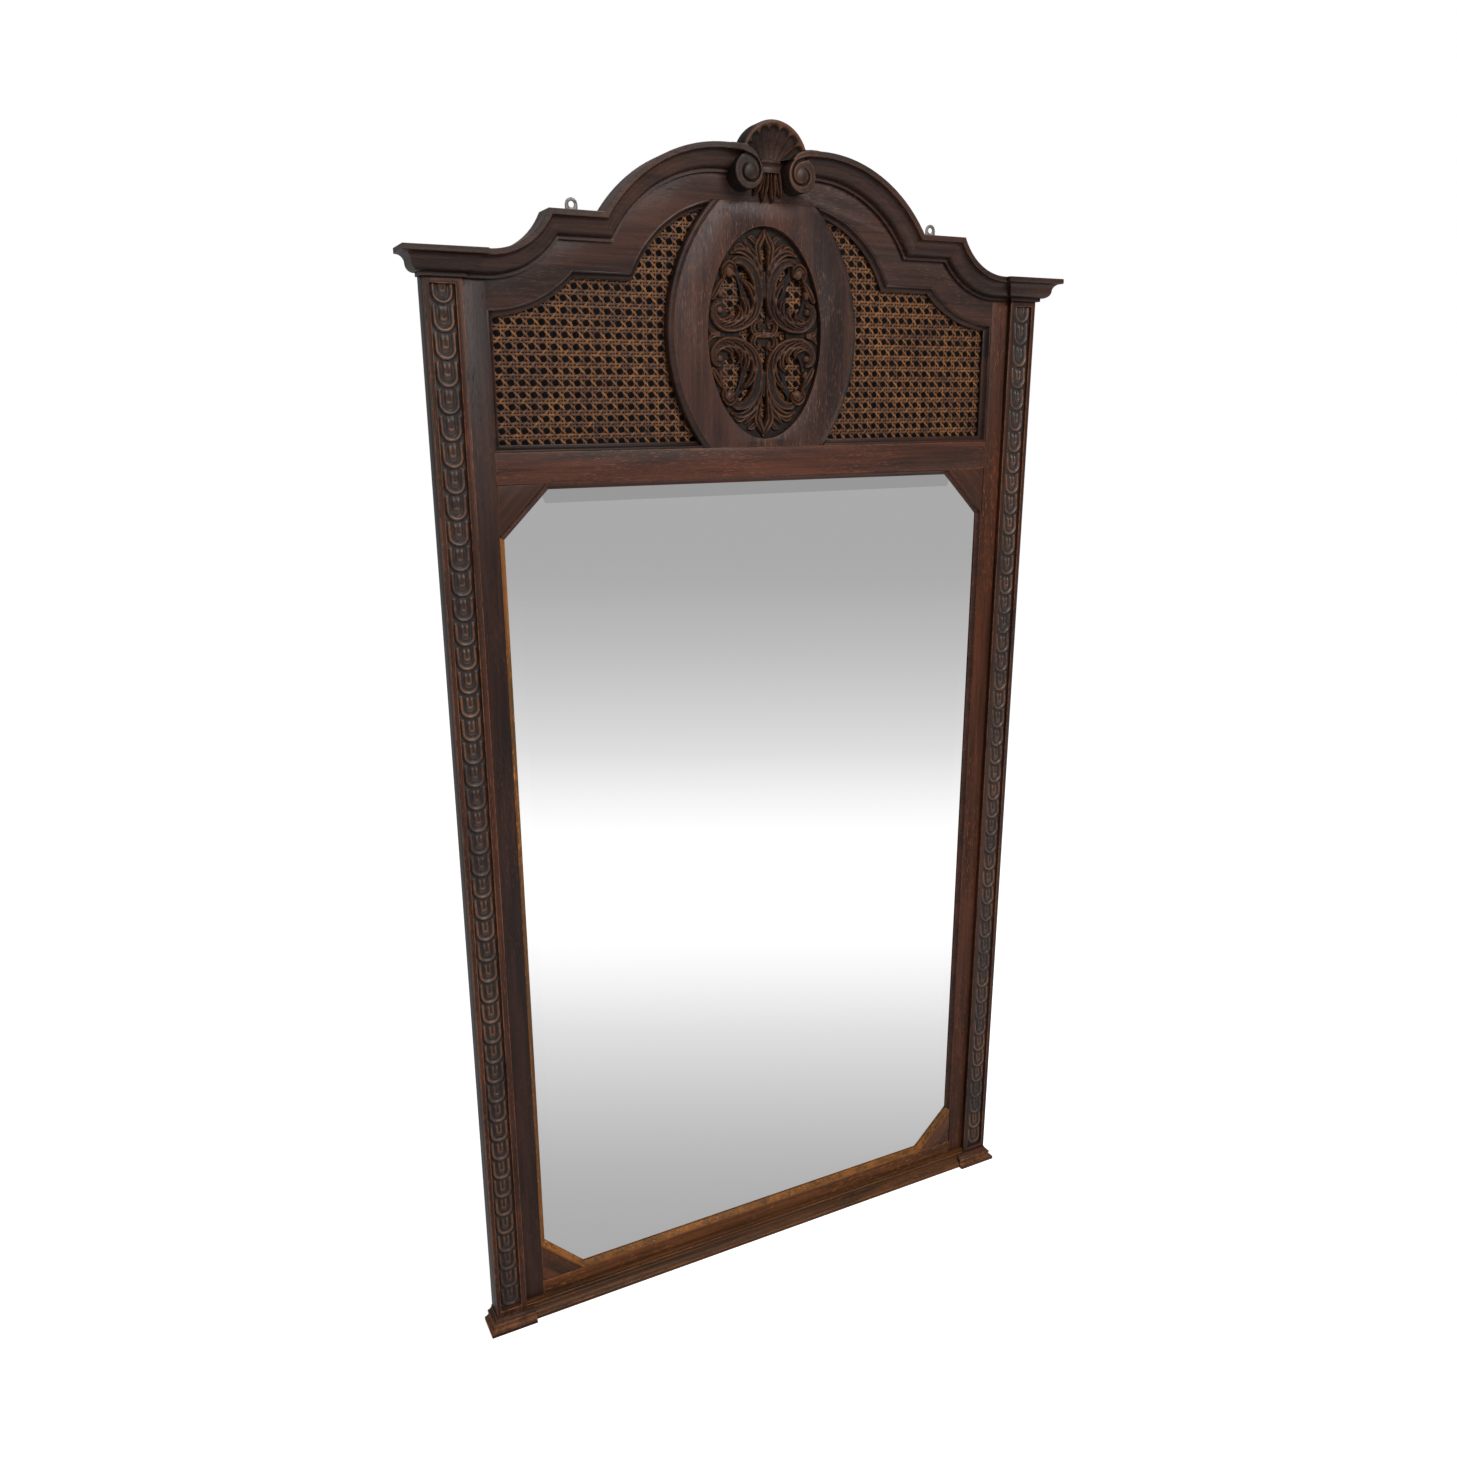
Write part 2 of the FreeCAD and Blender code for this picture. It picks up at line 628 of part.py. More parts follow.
def make_splat_beads():
    """A round bead bent along each side of the splat, level with its face."""
    bead = new_body("splat_bead_right")
    sketch = new_sketch(bead, "XY_Plane", SPLAT_MIDDLE, origin=(SPLAT_CENTRE_X, "0"))
    inner = minus("sizes.splat_side_radius", "sizes.splat_bead_width")
    outer = "sizes.splat_side_radius"
    level = plus(FACE, "sizes.window_bead_quirk")
    nose = minus(outer, "sizes.splat_bead_round")
    outline(sketch, [(inner, REBATE), (inner, level), (minus(nose, 1), level)] + flats(
        nose, plus(FACE, "sizes.splat_bead_round"), "sizes.splat_bead_round", -90, 0) + [
        (outer, REBATE)])
    # turned a little past the higher end, then cut level at both ends
    half_high = "max(%s; %s)" % (minus(SPLAT_TOP, SPLAT_MIDDLE), minus(SPLAT_MIDDLE, RAIL_TOP))
    revolve(bead, sketch, "V_Axis", "2 * asin(1.04 * %s / %s)" % (half_high, inner), symmetric=True)
    near = "0"
    far = plus("sizes.splat_half_width", 20)
    for end, reach in ((SPLAT_TOP, plus(SPLAT_MIDDLE, outer)), (RAIL_TOP, minus(SPLAT_MIDDLE, outer))):
        cut_ahead(bead, [(near, end), (far, end), (far, reach), (near, reach)])
    return [bead, mirrored("splat_bead_left", bead)]


# Window beads: a hollow moulding let into the window's edge, mitred at each corner

def bead_section(edge, inwards):
    """The bead's section for a sketch whose x is depth and y the distance across.

    edge is where it touches the wood, and inwards is 1 or -1, the way to the cane."""
    def across(distance):
        return plus(edge, "%d * (%s)" % (inwards, distance))
    quirk = plus(FACE, "sizes.window_bead_quirk")
    lip = minus(REBATE, "sizes.window_bead_edge")
    flat = "sizes.window_bead_flat"
    end = "(sizes.window_bead_width - sizes.window_bead_lip)"
    hollow = "sizes.window_bead_hollow"
    return [
        (REBATE, across("0")), (quirk, across("0")), (quirk, across(flat)),
        (plus("(%s + %s) / 2" % (quirk, lip), hollow), across("(%s + %s) / 2 - %s" % (flat, end, hollow))),
        (lip, across(end)),
        (lip, across("sizes.window_bead_width")), (REBATE, across("sizes.window_bead_width"))]


def make_window_beads():
    width = "sizes.window_bead_width"
    made = []

    # along the arch: turned about the arch's own centre
    arch = new_body("window_bead_arch_right")
    sketch = new_sketch(arch, "YZ_Plane", "sizes.window_arch_offset", origin=("0", ARCH_CENTRE))
    outline(sketch, bead_section("sizes.window_arch_radius", -1))
    revolve(arch, sketch, "H_Axis", "acos(%s / %s) + 3 deg" % (
        "sizes.window_arch_drop", "sizes.window_arch_radius"))
    cut_ahead(arch, mitre_beyond(
        (window_arch_x(), STEP_Z), (window_arch_x("-" + width), minus(STEP_Z, width)), 40))
    # its tip runs out against the splat's bead
    cut_ahead(arch, [
        ("0", minus(RAIL_TOP, 10)), (splat_x(RAIL_TOP), minus(RAIL_TOP, 10)),
        (splat_x(RAIL_TOP), RAIL_TOP, "sizes.splat_side_radius", "left"),
        (splat_x(SPLAT_TOP), SPLAT_TOP), (plus(splat_x(SPLAT_TOP), width), SPLAT_TOP),
        (plus(splat_x(SPLAT_TOP), width), plus(SPLAT_TOP, 40)), ("0", plus(SPLAT_TOP, 40))])
    made.append(arch)

    # along the level step
    step = new_body("window_bead_step_right")
    sketch = new_sketch(step, "YZ_Plane", minus(window_arch_x(), 20))
    outline(sketch, bead_section(STEP_Z, -1))
    pad(step, sketch, plus(minus(window_step_x(), window_arch_x()), 30))
    cut_ahead(step, mitre_beyond(
        (window_arch_x(), STEP_Z), (window_arch_x("-" + width), minus(STEP_Z, width)), -40))
    cut_ahead(step, mitre_beyond(
        (window_step_x(), STEP_Z), (window_step_x("-" + width), minus(STEP_Z, width)), 40))
    made.append(step)

    # along the cove
    cove = new_body("window_bead_cove_right")
    sketch = new_sketch(cove, "YZ_Plane", STILE_IN, origin=("0", COVE_CENTRE))
    outline(sketch, bead_section("-sizes.window_cove_radius", -1))
    revolve(cove, sketch, "H_Axis", "acos(1 - %s / %s) + 3 deg" % (
        "sizes.window_step_up", "sizes.window_cove_radius"))
    cut_ahead(cove, mitre_beyond(
        (window_step_x(), STEP_Z), (window_step_x("-" + width), minus(STEP_Z, width)), -40))
    cut_ahead(cove, [
        (plus(STILE_IN, 4), plus(COVE_LOW, 4)),
        (minus(STILE_IN, width, 4), minus(COVE_LOW, width, 4)),
        (plus(STILE_IN, 4), minus(COVE_LOW, width, 4))])
    made.append(cove)

    # up the stile
    side = new_body("window_bead_side_right")
    sketch = new_sketch(side, "XY_Plane", RAIL_TOP)
    outline(sketch, [(across, depth) for depth, across in bead_section(STILE_IN, -1)])
    pad(side, sketch, "sizes.window_side_high")
    cut_ahead(side, [
        (plus(STILE_IN, 4), plus(COVE_LOW, 4)), (minus(STILE_IN, width, 4), plus(COVE_LOW, 4)),
        (minus(STILE_IN, width, 4), minus(COVE_LOW, width, 4))])
    cut_ahead(side, [
        (plus(STILE_IN, 4), minus(RAIL_TOP, 4)), (minus(STILE_IN, width, 4), plus(RAIL_TOP, width, 4)),
        (minus(STILE_IN, width, 4), minus(RAIL_TOP, 4))])
    made.append(side)

    # along the mid rail, butted to the splat's bead
    rail = new_body("window_bead_rail_right")
    start = splat_x(RAIL_TOP, 5)
    sketch = new_sketch(rail, "YZ_Plane", start)
    outline(sketch, bead_section(RAIL_TOP, 1))
    pad(rail, sketch, minus(STILE_IN, start))
    cut_ahead(rail, [
        ("0", minus(RAIL_TOP, 10)), (splat_x(minus(RAIL_TOP, 10)), minus(RAIL_TOP, 10),
                                     "sizes.splat_side_radius", "left"),
        (splat_x(plus(RAIL_TOP, 30)), plus(RAIL_TOP, 30)), ("0", plus(RAIL_TOP, 30))])
    cut_ahead(rail, [
        (plus(STILE_IN, 4), minus(RAIL_TOP, 4)), (plus(STILE_IN, 4), plus(RAIL_TOP, width, 4)),
        (minus(STILE_IN, width, 4), plus(RAIL_TOP, width, 4))])
    made.append(rail)

    for piece in list(made):
        made.append(mirrored(piece.Label.replace("right", "left"), piece))
    return made


def mitre_beyond(first, second, reach):
    """A four-sided area on one side of the mitre line through two points, reach mm across."""
    def along(index, share):
        return plus(first[index], "%s * (%s - %s)" % (share, second[index], first[index]))
    ends = [(along(0, -1.5), along(1, -1.5)), (along(0, 2.5), along(1, 2.5))]
    far = [(plus(x, reach), z) for x, z in reversed(ends)]
    return ends + far


# Oval carving

def make_carving():
    """The pierced oval: a ground with openings, and four C-scrolls with ball ends on it."""
    carving = new_body("oval_carving")
    sketch = front_sketch(carving, REBATE)
    ellipse(sketch, "0", SPLAT_MIDDLE, "sizes.oval_width / 2 - sizes.carving_gap",
            "sizes.oval_high / 2 - sizes.carving_gap")
    pad(carving, sketch, "sizes.carving_ground")

    across = "sizes.oval_width"
    up = "sizes.oval_high"
    sketch = front_sketch(carving, minus(REBATE, "sizes.carving_ground"))
    for side in (1, -1):
        for half in (1, -1):
            x = "%d * 0.235 * %s" % (side, across)
            z_in = plus(SPLAT_MIDDLE, "%d * 0.13 * %s" % (half, up))
            z_out = plus(SPLAT_MIDDLE, "%d * 0.245 * %s" % (half, up))
            slot(sketch, x, z_in, z_out, "0.07 * " + across)
        slot(sketch, "%d * 0.155 * %s" % (side, across), minus(SPLAT_MIDDLE, "0.012 * " + up),
             plus(SPLAT_MIDDLE, "0.012 * " + up), "0.035 * " + across)
    for half in (1, -1):
        slot(sketch, "0", plus(SPLAT_MIDDLE, "%d * 0.30 * %s" % (half, up)),
             plus(SPLAT_MIDDLE, "%d * 0.40 * %s" % (half, up)), "0.03 * " + across)
    pocket(carving, sketch, plus("sizes.carving_ground", 2))

    # C-scrolls: crescents whose backs face each other across the middle
    sketch = front_sketch(carving, minus(REBATE, "sizes.carving_ground"))
    for side in (1, -1):
        for half in (1, -1):
            centre = ("%d * 0.33 * %s" % (side, across),
                      plus(SPLAT_MIDDLE, "%d * 0.1825 * %s" % (half, up)))
            tips = "0.1425 * " + up
            back = flats(*centre, "%d * 0.29 * %s" % (side, across), 90, 270, 4, tips)
            belly = flats(*centre, "%d * 0.205 * %s" % (side, across), 270, 90, 4, tips)
            outline(sketch, back + belly[1:-1])
    pad(carving, sketch, "sizes.carving_relief")
    return [carving]


def slot(sketch, x, z_1, z_2, radius):
    """An upright slot with rounded ends between two heights."""
    low, top = (z_1, z_2) if value(z_1) < value(z_2) else (z_2, z_1)
    outline(sketch, flats(x, low, radius, 180, 360, 3) + flats(x, top, radius, 0, 180, 3))


# Glass, its mouldings and corner blocks

def glazing_section(edge, inwards):
    """The glazing moulding's section, x the depth and y the distance across from the wood."""
    def across(distance):
        return plus(edge, "%d * (%s)" % (inwards, distance))
    width = "sizes.glazing_width"
    seat = plus(FACE, "sizes.glazing_depth")
    return [
        (seat, across("0")), (FACE, across("0")), (FACE, across("0.3 * " + width)),
        (plus(FACE, "0.14 * " + width), across("0.3 * " + width)),
        (plus(FACE, "0.65 * sizes.glazing_depth"), across("0.6 * " + width)),
        (minus(seat, "0.16 * " + width), across(width)), (seat, across(width))]


def cant_leg_outer():
    """The canted corner's leg at the outer edge of the glazing moulding."""
    return plus("sizes.sight_cant", "sizes.glazing_width * (2 - sqrt(2))")


def make_glazing():
    """Four long strips and four canted ones, mitred into an octagon against the glass."""
    half = "(sizes.sight_width / 2)"
    outer = STILE_IN
    cant = "sizes.sight_cant"
    cant_outer = cant_leg_outer()
    made = []

    side = new_body("glazing_strip_right")
    sketch = new_sketch(side, "XY_Plane", OPENING_LOW)
    outline(sketch, [(across, depth) for depth, across in glazing_section(outer, -1)])
    pad(side, sketch, minus(OPENING_TOP, OPENING_LOW))
    ends = ((OPENING_TOP, SIGHT_TOP, "-"), (OPENING_LOW, SIGHT_LOW, "+"))
    for frame_z, sight_z, sign in ends:
        outer_z = "(%s %s %s)" % (frame_z, sign, cant_outer)
        inner_z = "(%s %s %s)" % (sight_z, sign, cant)
        slope = [("(%s + 0.5 * (%s - %s))" % (outer, outer, half), "(%s + 0.5 * (%s - %s))" % (
            outer_z, outer_z, inner_z)), ("(%s - 0.5 * (%s - %s))" % (half, outer, half),
                                          "(%s - 0.5 * (%s - %s))" % (inner_z, outer_z, inner_z))]
        past = "(%s %s 90)" % (frame_z, "+" if sign == "-" else "-")
        cut_ahead(side, slope + [(slope[1][0], past), (slope[0][0], past)])
    made += [side, mirrored("glazing_strip_left", side)]

    for label, frame_z, sight_z, inwards, sign in (
            ("glazing_strip_top", OPENING_TOP, SIGHT_TOP, -1, "+"),
            ("glazing_strip_bottom", OPENING_LOW, SIGHT_LOW, 1, "-")):
        strip = new_body(label)
        sketch = new_sketch(strip, "YZ_Plane", "-" + outer)
        outline(sketch, glazing_section(frame_z, inwards))
        pad(strip, sketch, "2 * " + outer)
        for flip in ("", "-"):
            frame_x = "%s(%s - %s)" % (flip, outer, cant_outer)
            sight_x = "%s(%s - %s)" % (flip, half, cant)
            points = [
                ("(%s + 0.5 * (%s - %s))" % (frame_x, frame_x, sight_x),
                 "(%s + 0.5 * (%s - %s))" % (frame_z, frame_z, sight_z)),
                ("(%s - 0.5 * (%s - %s))" % (sight_x, frame_x, sight_x),
                 "(%s - 0.5 * (%s - %s))" % (sight_z, frame_z, sight_z))]
            past = "%s(%s + 30)" % (flip, outer)
            cut_ahead(strip, points + [(past, points[1][1]), (past, points[0][1])])
        made.append(strip)

    for level, frame_z, sign, turn in (
            ("top", OPENING_TOP, "-", 45), ("bottom", OPENING_LOW, "+", 135)):
        strip = make_canted_strip("glazing_cant_%s_right" % level, frame_z, sign, turn)
        made += [strip, mirrored("glazing_cant_%s_left" % level, strip)]
        block_x = minus(outer, "sizes.block_gap")
        block_z = "(%s %s sizes.block_gap)" % (frame_z, sign)
        short = minus(cant_outer, "4 * sizes.block_gap")
        block = board("corner_block_%s_right" % level, [
            (block_x, block_z), ("(%s - %s)" % (block_x, short), block_z),
            (block_x, "(%s %s %s)" % (block_z, sign, short))],
            plus(FACE, "sizes.glazing_depth"), "sizes.glazing_depth - sizes.block_set_back")
        made += [block, mirrored("corner_block_%s_left" % level, block)]
    return made


def make_canted_strip(label, frame_z, sign, turn):
    """A canted strip, made level with its outer edge on the body's own x axis and then turned."""
    strip = new_body(label)
    outer_half = "(%s / sqrt(2))" % cant_leg_outer()
    inner_half = "(sizes.sight_cant / sqrt(2))"
    sketch = new_sketch(strip, "YZ_Plane", "-" + outer_half)
    outline(sketch, glazing_section("0", -1))
    pad(strip, sketch, "2 * " + outer_half)
    for flip in ("", "-"):
        end = flip + outer_half
        inner = flip + inner_half
        past = "%s(%s + 10)" % (flip, outer_half)
        points = [("(%s + (%s - %s))" % (end, end, inner), "sizes.glazing_width"),
                  ("(%s - (%s - %s))" % (inner, end, inner), "-2 * sizes.glazing_width")]
        cut_ahead(strip, points + [(past, points[1][1]), (past, points[0][1])])
    strip.Placement = FreeCAD.Placement(
        FreeCAD.Vector(0, 0, 0), FreeCAD.Rotation(FreeCAD.Vector(0, 1, 0), turn))
    strip.setExpression(".Placement.Base.x", minus(STILE_IN, "%s / 2" % cant_leg_outer()))
    strip.setExpression(".Placement.Base.z", "(%s %s %s / 2)" % (frame_z, sign, cant_leg_outer()))
    return strip


def make_glass():
    """The plate, its corners cut behind the corner blocks and its front ground to a bevel."""
    half = minus(STILE_IN, "sizes.glass_gap")
    low = plus(OPENING_LOW, "sizes.glass_gap")
    top = minus(OPENING_TOP, "sizes.glass_gap")
    cut = minus("sizes.sight_cant", "sizes.glazing_width")
    inner = minus(half, cut)
    seat = plus(FACE, "sizes.glazing_depth")
    glass = board("mirror_glass", [
        ("-" + inner, low), (inner, low), (half, plus(low, cut)), (half, minus(top, cut)),
        (inner, top), ("-" + inner, top), ("-" + half, minus(top, cut)), ("-" + half, plus(low, cut))],
        plus(seat, "sizes.glass_thick"), "sizes.glass_thick")
    front = value(seat)
    edges = []
    for number, edge in enumerate(glass.Shape.Edges, start=1):
        if all(abs(point.Point.y - front) < 1e-4 for point in edge.Vertexes):
            edges.append("Edge%d" % number)
    plate = glass.Tip
    bevel = glass.newObject("PartDesign::Chamfer", "Chamfer")
    bevel.Base = (plate, edges)
    bevel.ChamferType = "Two distances"
    bevel.FlipDirection = True
    bevel.setExpression("Size", "sizes.glazing_width + sizes.bevel_width")
    bevel.setExpression("Size2", "sizes.bevel_drop")
    doc.recompute()
    ground = [face.Area for face in glass.Shape.Faces if abs(face.CenterOfMass.y - front) < 1e-4]
    if not (len(ground) == 1 and ground[0] < plate.Shape.Volume / value("sizes.glass_thick")):
        raise RuntimeError("the glass has no bevel on its front")
    return [glass]


def make_boards():
    """Backboard behind the glass, and the dark board behind the cane."""
    reach = minus("sizes.rebate_width", "sizes.fit_gap")
    half = plus(STILE_IN, reach)
    low = minus(OPENING_LOW, reach)
    top = plus(OPENING_TOP, reach)
    back = board("backboard", [("-" + half, low), (half, low), (half, top), ("-" + half, top)],
                 plus(REBATE, "sizes.backboard_thick"), "sizes.backboard_thick")
    sketch = front_sketch(back, REBATE)
    for side in ("", "-"):
        for x, z in board_screw_places():
            circle(sketch, side + x, z, plus("sizes.board_screw_radius", "sizes.fit_gap"))
    pocket(back, sketch, plus("sizes.backboard_thick", 1))
    cane_back = plus(REBATE, "sizes.cane_thick")
    backing = board("cane_backing", grown_window(reach), plus(cane_back, "sizes.backing_thick"),
                    "sizes.backing_thick")
    return [back, backing]


def make_cane():
    """The cane behind the windows and the oval, one sheet with the open squares of its weave."""
    edge = doc.addObject("Sketcher::SketchObject", "cane_edge")
    edge.Placement.Rotation = FreeCAD.Rotation(FreeCAD.Vector(1, 0, 0), 90)
    edge.setExpression(".Placement.Base.y", REBATE)
    outline(edge, grown_window(minus("sizes.rebate_width", "sizes.fit_gap")))
    doc.recompute()
    pitch = value("sizes.cane_pitch")
    half_hole = value("sizes.cane_hole") / 2
    first_x = value(STILE_IN) - value("sizes.window_bead_width") - 0.4 * pitch
    first_z = value(RAIL_TOP) + value("sizes.window_bead_width") + 0.4 * pitch
    corners = ((-1, -1), (1, -1), (1, 1), (-1, 1), (-1, -1))
    holes = []
    for row in range(int(value(minus(SPLAT_TOP, RAIL_TOP)) / pitch)):
        z = first_z + row * pitch
        for column in range(int(value(STILE_IN) / pitch)):
            x = first_x - column * pitch
            if cane_shows(x, z):
                for side in (1, -1):
                    holes.append(Part.makePolygon([
                        FreeCAD.Vector(side * x + half_hole * across, value(REBATE), z + half_hole * up)
                        for across, up in corners]))
    face = Part.Face([Part.Wire(edge.Shape.Edges)] + holes)
    face.validate()
    piece = doc.addObject("Part::Feature", "cane_panel")
    piece.Label = "cane_panel"
    piece.Shape = face.extrude(FreeCAD.Vector(0, value("sizes.cane_thick"), 0))
    return [piece]


def cane_shows(x, z):
    """Whether the window leaves the cane open to view round this place on the right half."""
    reach = value("sizes.cane_hole") / 2 + 1
    bead = value("sizes.window_bead_width") - 3
    if x - reach < value(SPLAT_CENTRE_X) + math.sqrt(
            value("sizes.splat_side_radius") ** 2 - (z - value(SPLAT_MIDDLE)) ** 2) - 4:
        return False
    if z + reach < value(COVE_LOW) - bead:
        return x + reach < value(STILE_IN) - bead
    cove = math.hypot(x + reach - value(STILE_IN), z + reach - value(COVE_CENTRE))
    if x > value(window_step_x()):
        return cove > value("sizes.window_cove_radius") + bead
    if x > value(window_arch_x()):
        return z + reach < value(STEP_Z) - bead and cove > value("sizes.window_cove_radius") + bead
    arch = math.hypot(x + reach - value("sizes.window_arch_offset"), z + reach - value(ARCH_CENTRE))
    return arch < value("sizes.window_arch_radius") - bead


# Pilasters

CHANNEL_IN = plus(PILASTER_IN, "sizes.channel_edge_inner")
CHANNEL_OUT = minus(STILE_OUT, "sizes.channel_edge_outer")
CHANNEL_LOW = plus("sizes.plinth_high", "sizes.channel_end")
CHANNEL_TOP = minus(CORNICE_LOW, "sizes.channel_end")


def make_pilasters():
    pilaster = board("pilaster_right", [
        (PILASTER_IN, "sizes.plinth_high"), (STILE_OUT, "sizes.plinth_high"),
        (STILE_OUT, CORNICE_LOW), (PILASTER_IN, CORNICE_LOW)], FACE, "sizes.pilaster_thick")
    cut_front(pilaster, [
        (CHANNEL_IN, CHANNEL_LOW), (CHANNEL_OUT, CHANNEL_LOW), (CHANNEL_OUT, CHANNEL_TOP),
        (CHANNEL_IN, CHANNEL_TOP)], PILASTER_FRONT, "sizes.channel_depth")
    return [pilaster, mirrored("pilaster_left", pilaster)]


def make_scale_strips():
    """The strip of overlapping scales in the channel: tilted tiles with round lower ends."""
    strip = new_body("scale_strip_right")
    floor = plus(PILASTER_FRONT, "sizes.channel_depth")
    left = plus(CHANNEL_IN, "sizes.strip_gap")
    right = minus(CHANNEL_OUT, "sizes.strip_gap")
    low = plus(CHANNEL_LOW, "sizes.strip_gap")
    top = minus(CHANNEL_TOP, "sizes.strip_gap")
    sketch = front_sketch(strip, floor)
    rectangle(sketch, left, low, right, top)
    pad(strip, sketch, "sizes.strip_floor")
    half = "((%s - %s) / 2)" % (right, left)
    middle = "((%s + %s) / 2)" % (right, left)
    pitch = "((%s - %s) / sizes.scale_count)" % (top, low)
    # one scale, its plane tilted so that the round end stands proud of the next one down
    lift = minus(floor, "sizes.strip_floor", "sizes.scale_lift")
    sketch = new_sketch(strip, "XZ_Plane", "-(%s)" % lift, origin=(middle, plus(low, half, 2)),
                        tilt="-sizes.scale_tilt")
    outline(sketch, [
        (half, plus(pitch, 1)), ("-" + half, plus(pitch, 1))] + flats("0", "0", half, 180, 360, 3))
    scale = pad(strip, sketch, plus("sizes.scale_lift", "0.6"), reverse=True)
    pattern = strip.newObject("PartDesign::LinearPattern", "LinearPattern")
    pattern.Originals = [scale]
    upright = [feature for feature in strip.Origin.OriginFeatures if feature.Role == "Z_Axis"][0]
    pattern.Direction = (upright, [""])
    pattern.setExpression("Length", "%s * (sizes.scale_count - 1)" % pitch)
    pattern.setExpression("Occurrences", "sizes.scale_count")
    strip.Tip = pattern
    doc.recompute()
    cut_ahead(strip, [
        (minus(left, 5), top), (plus(right, 5), top), (plus(right, 5), plus(top, 60)),
        (minus(left, 5), plus(top, 60))])
    # the tilted tiles are planed flush with the strip's flat back
    cut_front(strip, [
        (minus(left, 5), minus(low, 5)), (plus(right, 5), minus(low, 5)),
        (plus(right, 5), plus(top, 5)), (minus(left, 5), plus(top, 5))], floor, "10")
    return [strip, mirrored("scale_strip_left", strip)]


# Plinths and base moulding

def foot_out(name):
    """How far a base moulding's foot stands out."""
    return plus("sizes.%s_neck" % name, "sizes.moulding_step", "sizes.%s_cove" % name)


def foot_section(edge, outwards, name):
    """Foot, cove, bead and hollow neck of a base moulding, from the floor up.

    edge is the plane that it stands out from, outwards is 1 or -1."""
    def out(distance):
        return plus(edge, "%d * (%s)" % (outwards, distance))
    foot = "sizes.%s_foot" % name
    cove = "sizes.%s_cove" % name
    bead = "sizes.%s_bead" % name
    high = "sizes.%s_high" % name
    neck = plus("sizes.%s_neck" % name, "sizes.moulding_step")
    cove_top = plus(foot, cove)
    bead_top = plus(cove_top, "2 * " + bead)
    hollow = "1.3 * (%s - %s)" % (high, bead_top)
    bulge, dip = ("left", "right") if outwards > 0 else ("right", "left")
    return [
        (edge, "0"), (out(foot_out(name)), "0"), (out(foot_out(name)), foot, cove, dip),
        (out(neck), cove_top, "1.05 * " + bead, bulge), (out(neck), bead_top),
        (out("sizes.%s_neck" % name), bead_top, hollow, dip),
        (out("sizes.moulding_top"), minus(high, "0.1 * " + high)),
        (out("sizes.moulding_top"), high), (edge, high)]


def make_plinths():
    """A block under each pilaster and stile, moulded in front and on its outer side."""
    plinth = new_body("plinth_right")
    inner = minus(PILASTER_IN, "sizes.plinth_step_in")
    outer = plus(STILE_OUT, foot_out("plinth"))
    sketch = new_sketch(plinth, "YZ_Plane", inner)
    front = foot_section(PILASTER_FRONT, -1, "plinth")
    outline(sketch, [(BACK, "0")] + front[1:-1] + [(BACK, "sizes.plinth_high")])
    pad(plinth, sketch, minus(outer, inner))
    # the outer side has the same section, so what lies outside it is cut away
    side = foot_section(STILE_OUT, 1, "plinth")
    sketch = front_sketch(plinth, minus(PILASTER_FRONT, 40))
    far = plus(outer, 10)
    outline(sketch, side[2:-1] + [(far, "sizes.plinth_high"), (far, "sizes.plinth_foot")])
    pocket(plinth, sketch, plus(40, "sizes.frame_thick", "sizes.pilaster_thick", 10))
    # the stile's foot stands in a notch, with the base moulding's end against the inner face
    cut_ahead_of_stile(plinth, inner)
    return [plinth, mirrored("plinth_left", plinth)]


def cut_ahead_of_stile(plinth, inner):
    """Clear the plinth behind the frame's face, where stile and bottom rail stand."""
    sketch = front_sketch(plinth, FACE)
    rectangle(sketch, minus(inner, 5), "-1", plus(STILE_OUT, "0"), plus("sizes.plinth_high", 5))
    pocket(plinth, sketch, plus("sizes.frame_thick", 5))


def make_base_moulding():
    base = new_body("base_moulding")
    sketch = new_sketch(base, "YZ_Plane", "-" + PILASTER_IN)
    outline(sketch, foot_section(FACE, -1, "base"))
    pad(base, sketch, "2 * " + PILASTER_IN)
    # each end stands on the plinth's inner step and stops at the pilaster
    step = minus(PILASTER_IN, "sizes.plinth_step_in")
    past = plus(PILASTER_IN, 5)
    top = "sizes.plinth_high"
    cut_ahead(base, [(step, "-5"), (past, "-5"), (past, top), (step, top)])
    cut_ahead(base, [("-" + past, "-5"), ("-" + step, "-5"), ("-" + step, top), ("-" + past, top)])
    return [base]


# Cornice: fillet, cyma and lip, in mitred lengths

def cornice_section(low, front, flip="", upward=True):
    """The cornice's section, x the way out of the wall and y the height above low.

    front is the plane it stands out from; flip "-" turns x towards the room."""
    def out(distance):
        return "(%s %s (%s))" % (front, "-" if flip else "+", distance)

    def up(distance):
        return plus(low, distance)
    fillet = "sizes.cornice_fillet_out"
    high = "sizes.cornice_fillet_high"
    start = plus(fillet, "sizes.cornice_quirk")
    radius = "sizes.cyma_radius"
    middle = plus(high, radius)
    cyma = flats(start, middle, radius, -90, 0)
    cyma += flats(plus(start, "2 * " + radius), middle, radius, 180, 90)[1:]
    return [(front, up("0")), (out(fillet), up("0")), (out(fillet), up(high))] + [
        (out(distance), up(rise)) for distance, rise in cyma] + [
        (out(CORNICE_OUT), up(plus(high, "2 * " + radius))), (out(CORNICE_OUT), up(CORNICE_HIGH)),
        (front, up(CORNICE_HIGH))]


